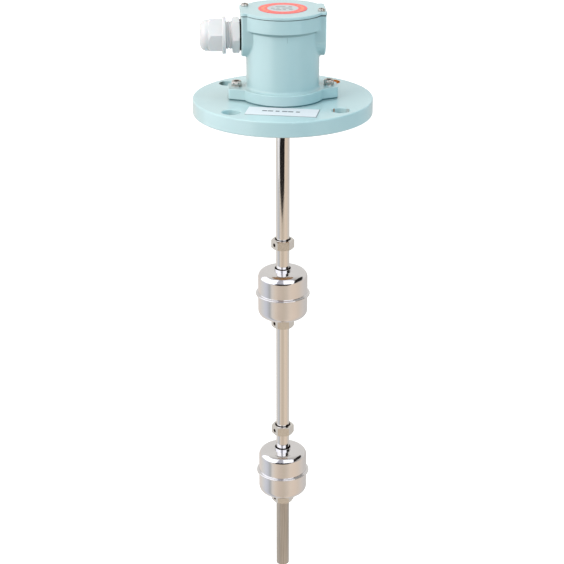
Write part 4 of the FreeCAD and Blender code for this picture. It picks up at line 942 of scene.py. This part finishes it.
def make_screen(name, colour, outline):
    """A curved card round the stem that nothing but shiny surfaces sees."""
    edges = []
    for (start, low, high), (end, next_low, next_high) in zip(outline, outline[1:]):
        steps = max(1, round((end - start) / SCREEN_STEP))
        for share in (step / steps for step in range(steps)):
            edges.append((start + (end - start) * share, low + (next_low - low) * share,
                          high + (next_high - high) * share))
    edges.append(outline[-1])
    form = bmesh.new()
    pairs = []
    for degrees, low, high in edges:
        angle = math.radians(degrees)
        across, depth = SCREEN_REACH * math.sin(angle), -SCREEN_REACH * math.cos(angle)
        pairs.append([form.verts.new((across, depth, level)) for level in (low, high)])
    for first, second in zip(pairs, pairs[1:]):
        form.faces.new((first[0], second[0], second[1], first[1]))
    shader = Shader(name)
    shader.set(Base_Color=(0, 0, 0, 1), Roughness=1.0, Specular_IOR_Level=0.0,
               Emission_Color=(*colour, 1.0), Emission_Strength=1.0)
    card = make_object(name, form, shader.material)
    card.visible_camera = False
    card.visible_diffuse = False
    card.visible_shadow = False
    card.visible_transmission = False


WORLD_WHITE = grey(1.0)
WORLD_GLOW = (0.50, 0.57, 0.61)
ROOM_FRONT = (0.42, 0.40, 0.38)
ROOM_BACK = (0.79, 0.77, 0.735)
ROOM_BLEND = 0.4


def make_world():
    """White for the camera, cool light for the part, and for steel a room that is brighter behind."""
    world = bpy.data.worlds.new("studio")
    bpy.context.scene.world = world
    world.use_nodes = True
    room = Nodes(world.node_tree, "Generated")
    depth = room.between(room.coordinate(1), -ROOM_BLEND, ROOM_BLEND, smooth=False)
    background = room.tree.nodes["Background"]
    background.inputs["Strength"].default_value = 1.0
    mirrored = room.mix(depth, ROOM_FRONT, ROOM_BACK)
    room.put(background.inputs["Color"], room.by_ray(WORLD_WHITE, WORLD_GLOW, mirrored))


def make_light(name, place, target, size, power, colour=(1, 1, 1), mirrored=True):
    """A rectangular light that is aimed at a point, and that shiny surfaces may be kept from mirroring."""
    light = bpy.data.lights.new(name, "AREA")
    light.shape = "RECTANGLE"
    light.size, light.size_y = size
    light.energy = power
    light.color = colour
    item = bpy.data.objects.new(name, light)
    bpy.context.scene.collection.objects.link(item)
    item.location = place
    item.rotation_euler = (Vector(target) - Vector(place)).to_track_quat("-Z", "Y").to_euler()
    item.visible_glossy = mirrored


CAMERA_REACH = 1.52003
CAMERA_HEIGHT = 0.44238
CAMERA_TURN = math.radians(3.42)
CAMERA_AIM = math.radians(3.39)
CAMERA_PITCH = 0.3912
CAMERA_LENS = 100.21
CAMERA_SENSOR = 36


def make_camera():
    """The photograph's camera, in front of the part and a little to its left, and looking down on it."""
    camera = bpy.data.cameras.new("camera")
    camera.lens = CAMERA_LENS
    camera.sensor_width = CAMERA_SENSOR
    item = bpy.data.objects.new("camera", camera)
    bpy.context.scene.collection.objects.link(item)
    across, depth = -CAMERA_REACH * math.sin(CAMERA_TURN), -CAMERA_REACH * math.cos(CAMERA_TURN)
    item.location = (across, depth, CAMERA_HEIGHT)
    item.rotation_euler = (math.pi / 2 - CAMERA_PITCH, 0, -CAMERA_AIM)
    bpy.context.scene.camera = item


bpy.context.scene.view_settings.view_transform = "Standard"
make_floor()
for screen in SCREENS:
    make_screen(*screen)
make_world()
make_light("key", place=(-1.9, -1.0, 1.25), target=(0, 0, -0.05), size=(1.5, 1.2), power=42,
           colour=(1.0, 0.95, 0.91))
make_light("top", place=(-0.3, 0.3, 2.2), target=(0, 0, 0), size=(1.8, 1.8), power=24, mirrored=False)
make_light("right", place=(1.7, -0.95, 0.8), target=(0, 0, -0.1), size=(0.4, 0.9), power=12,
           colour=(0.52, 0.87, 1.0), mirrored=False)
make_camera()
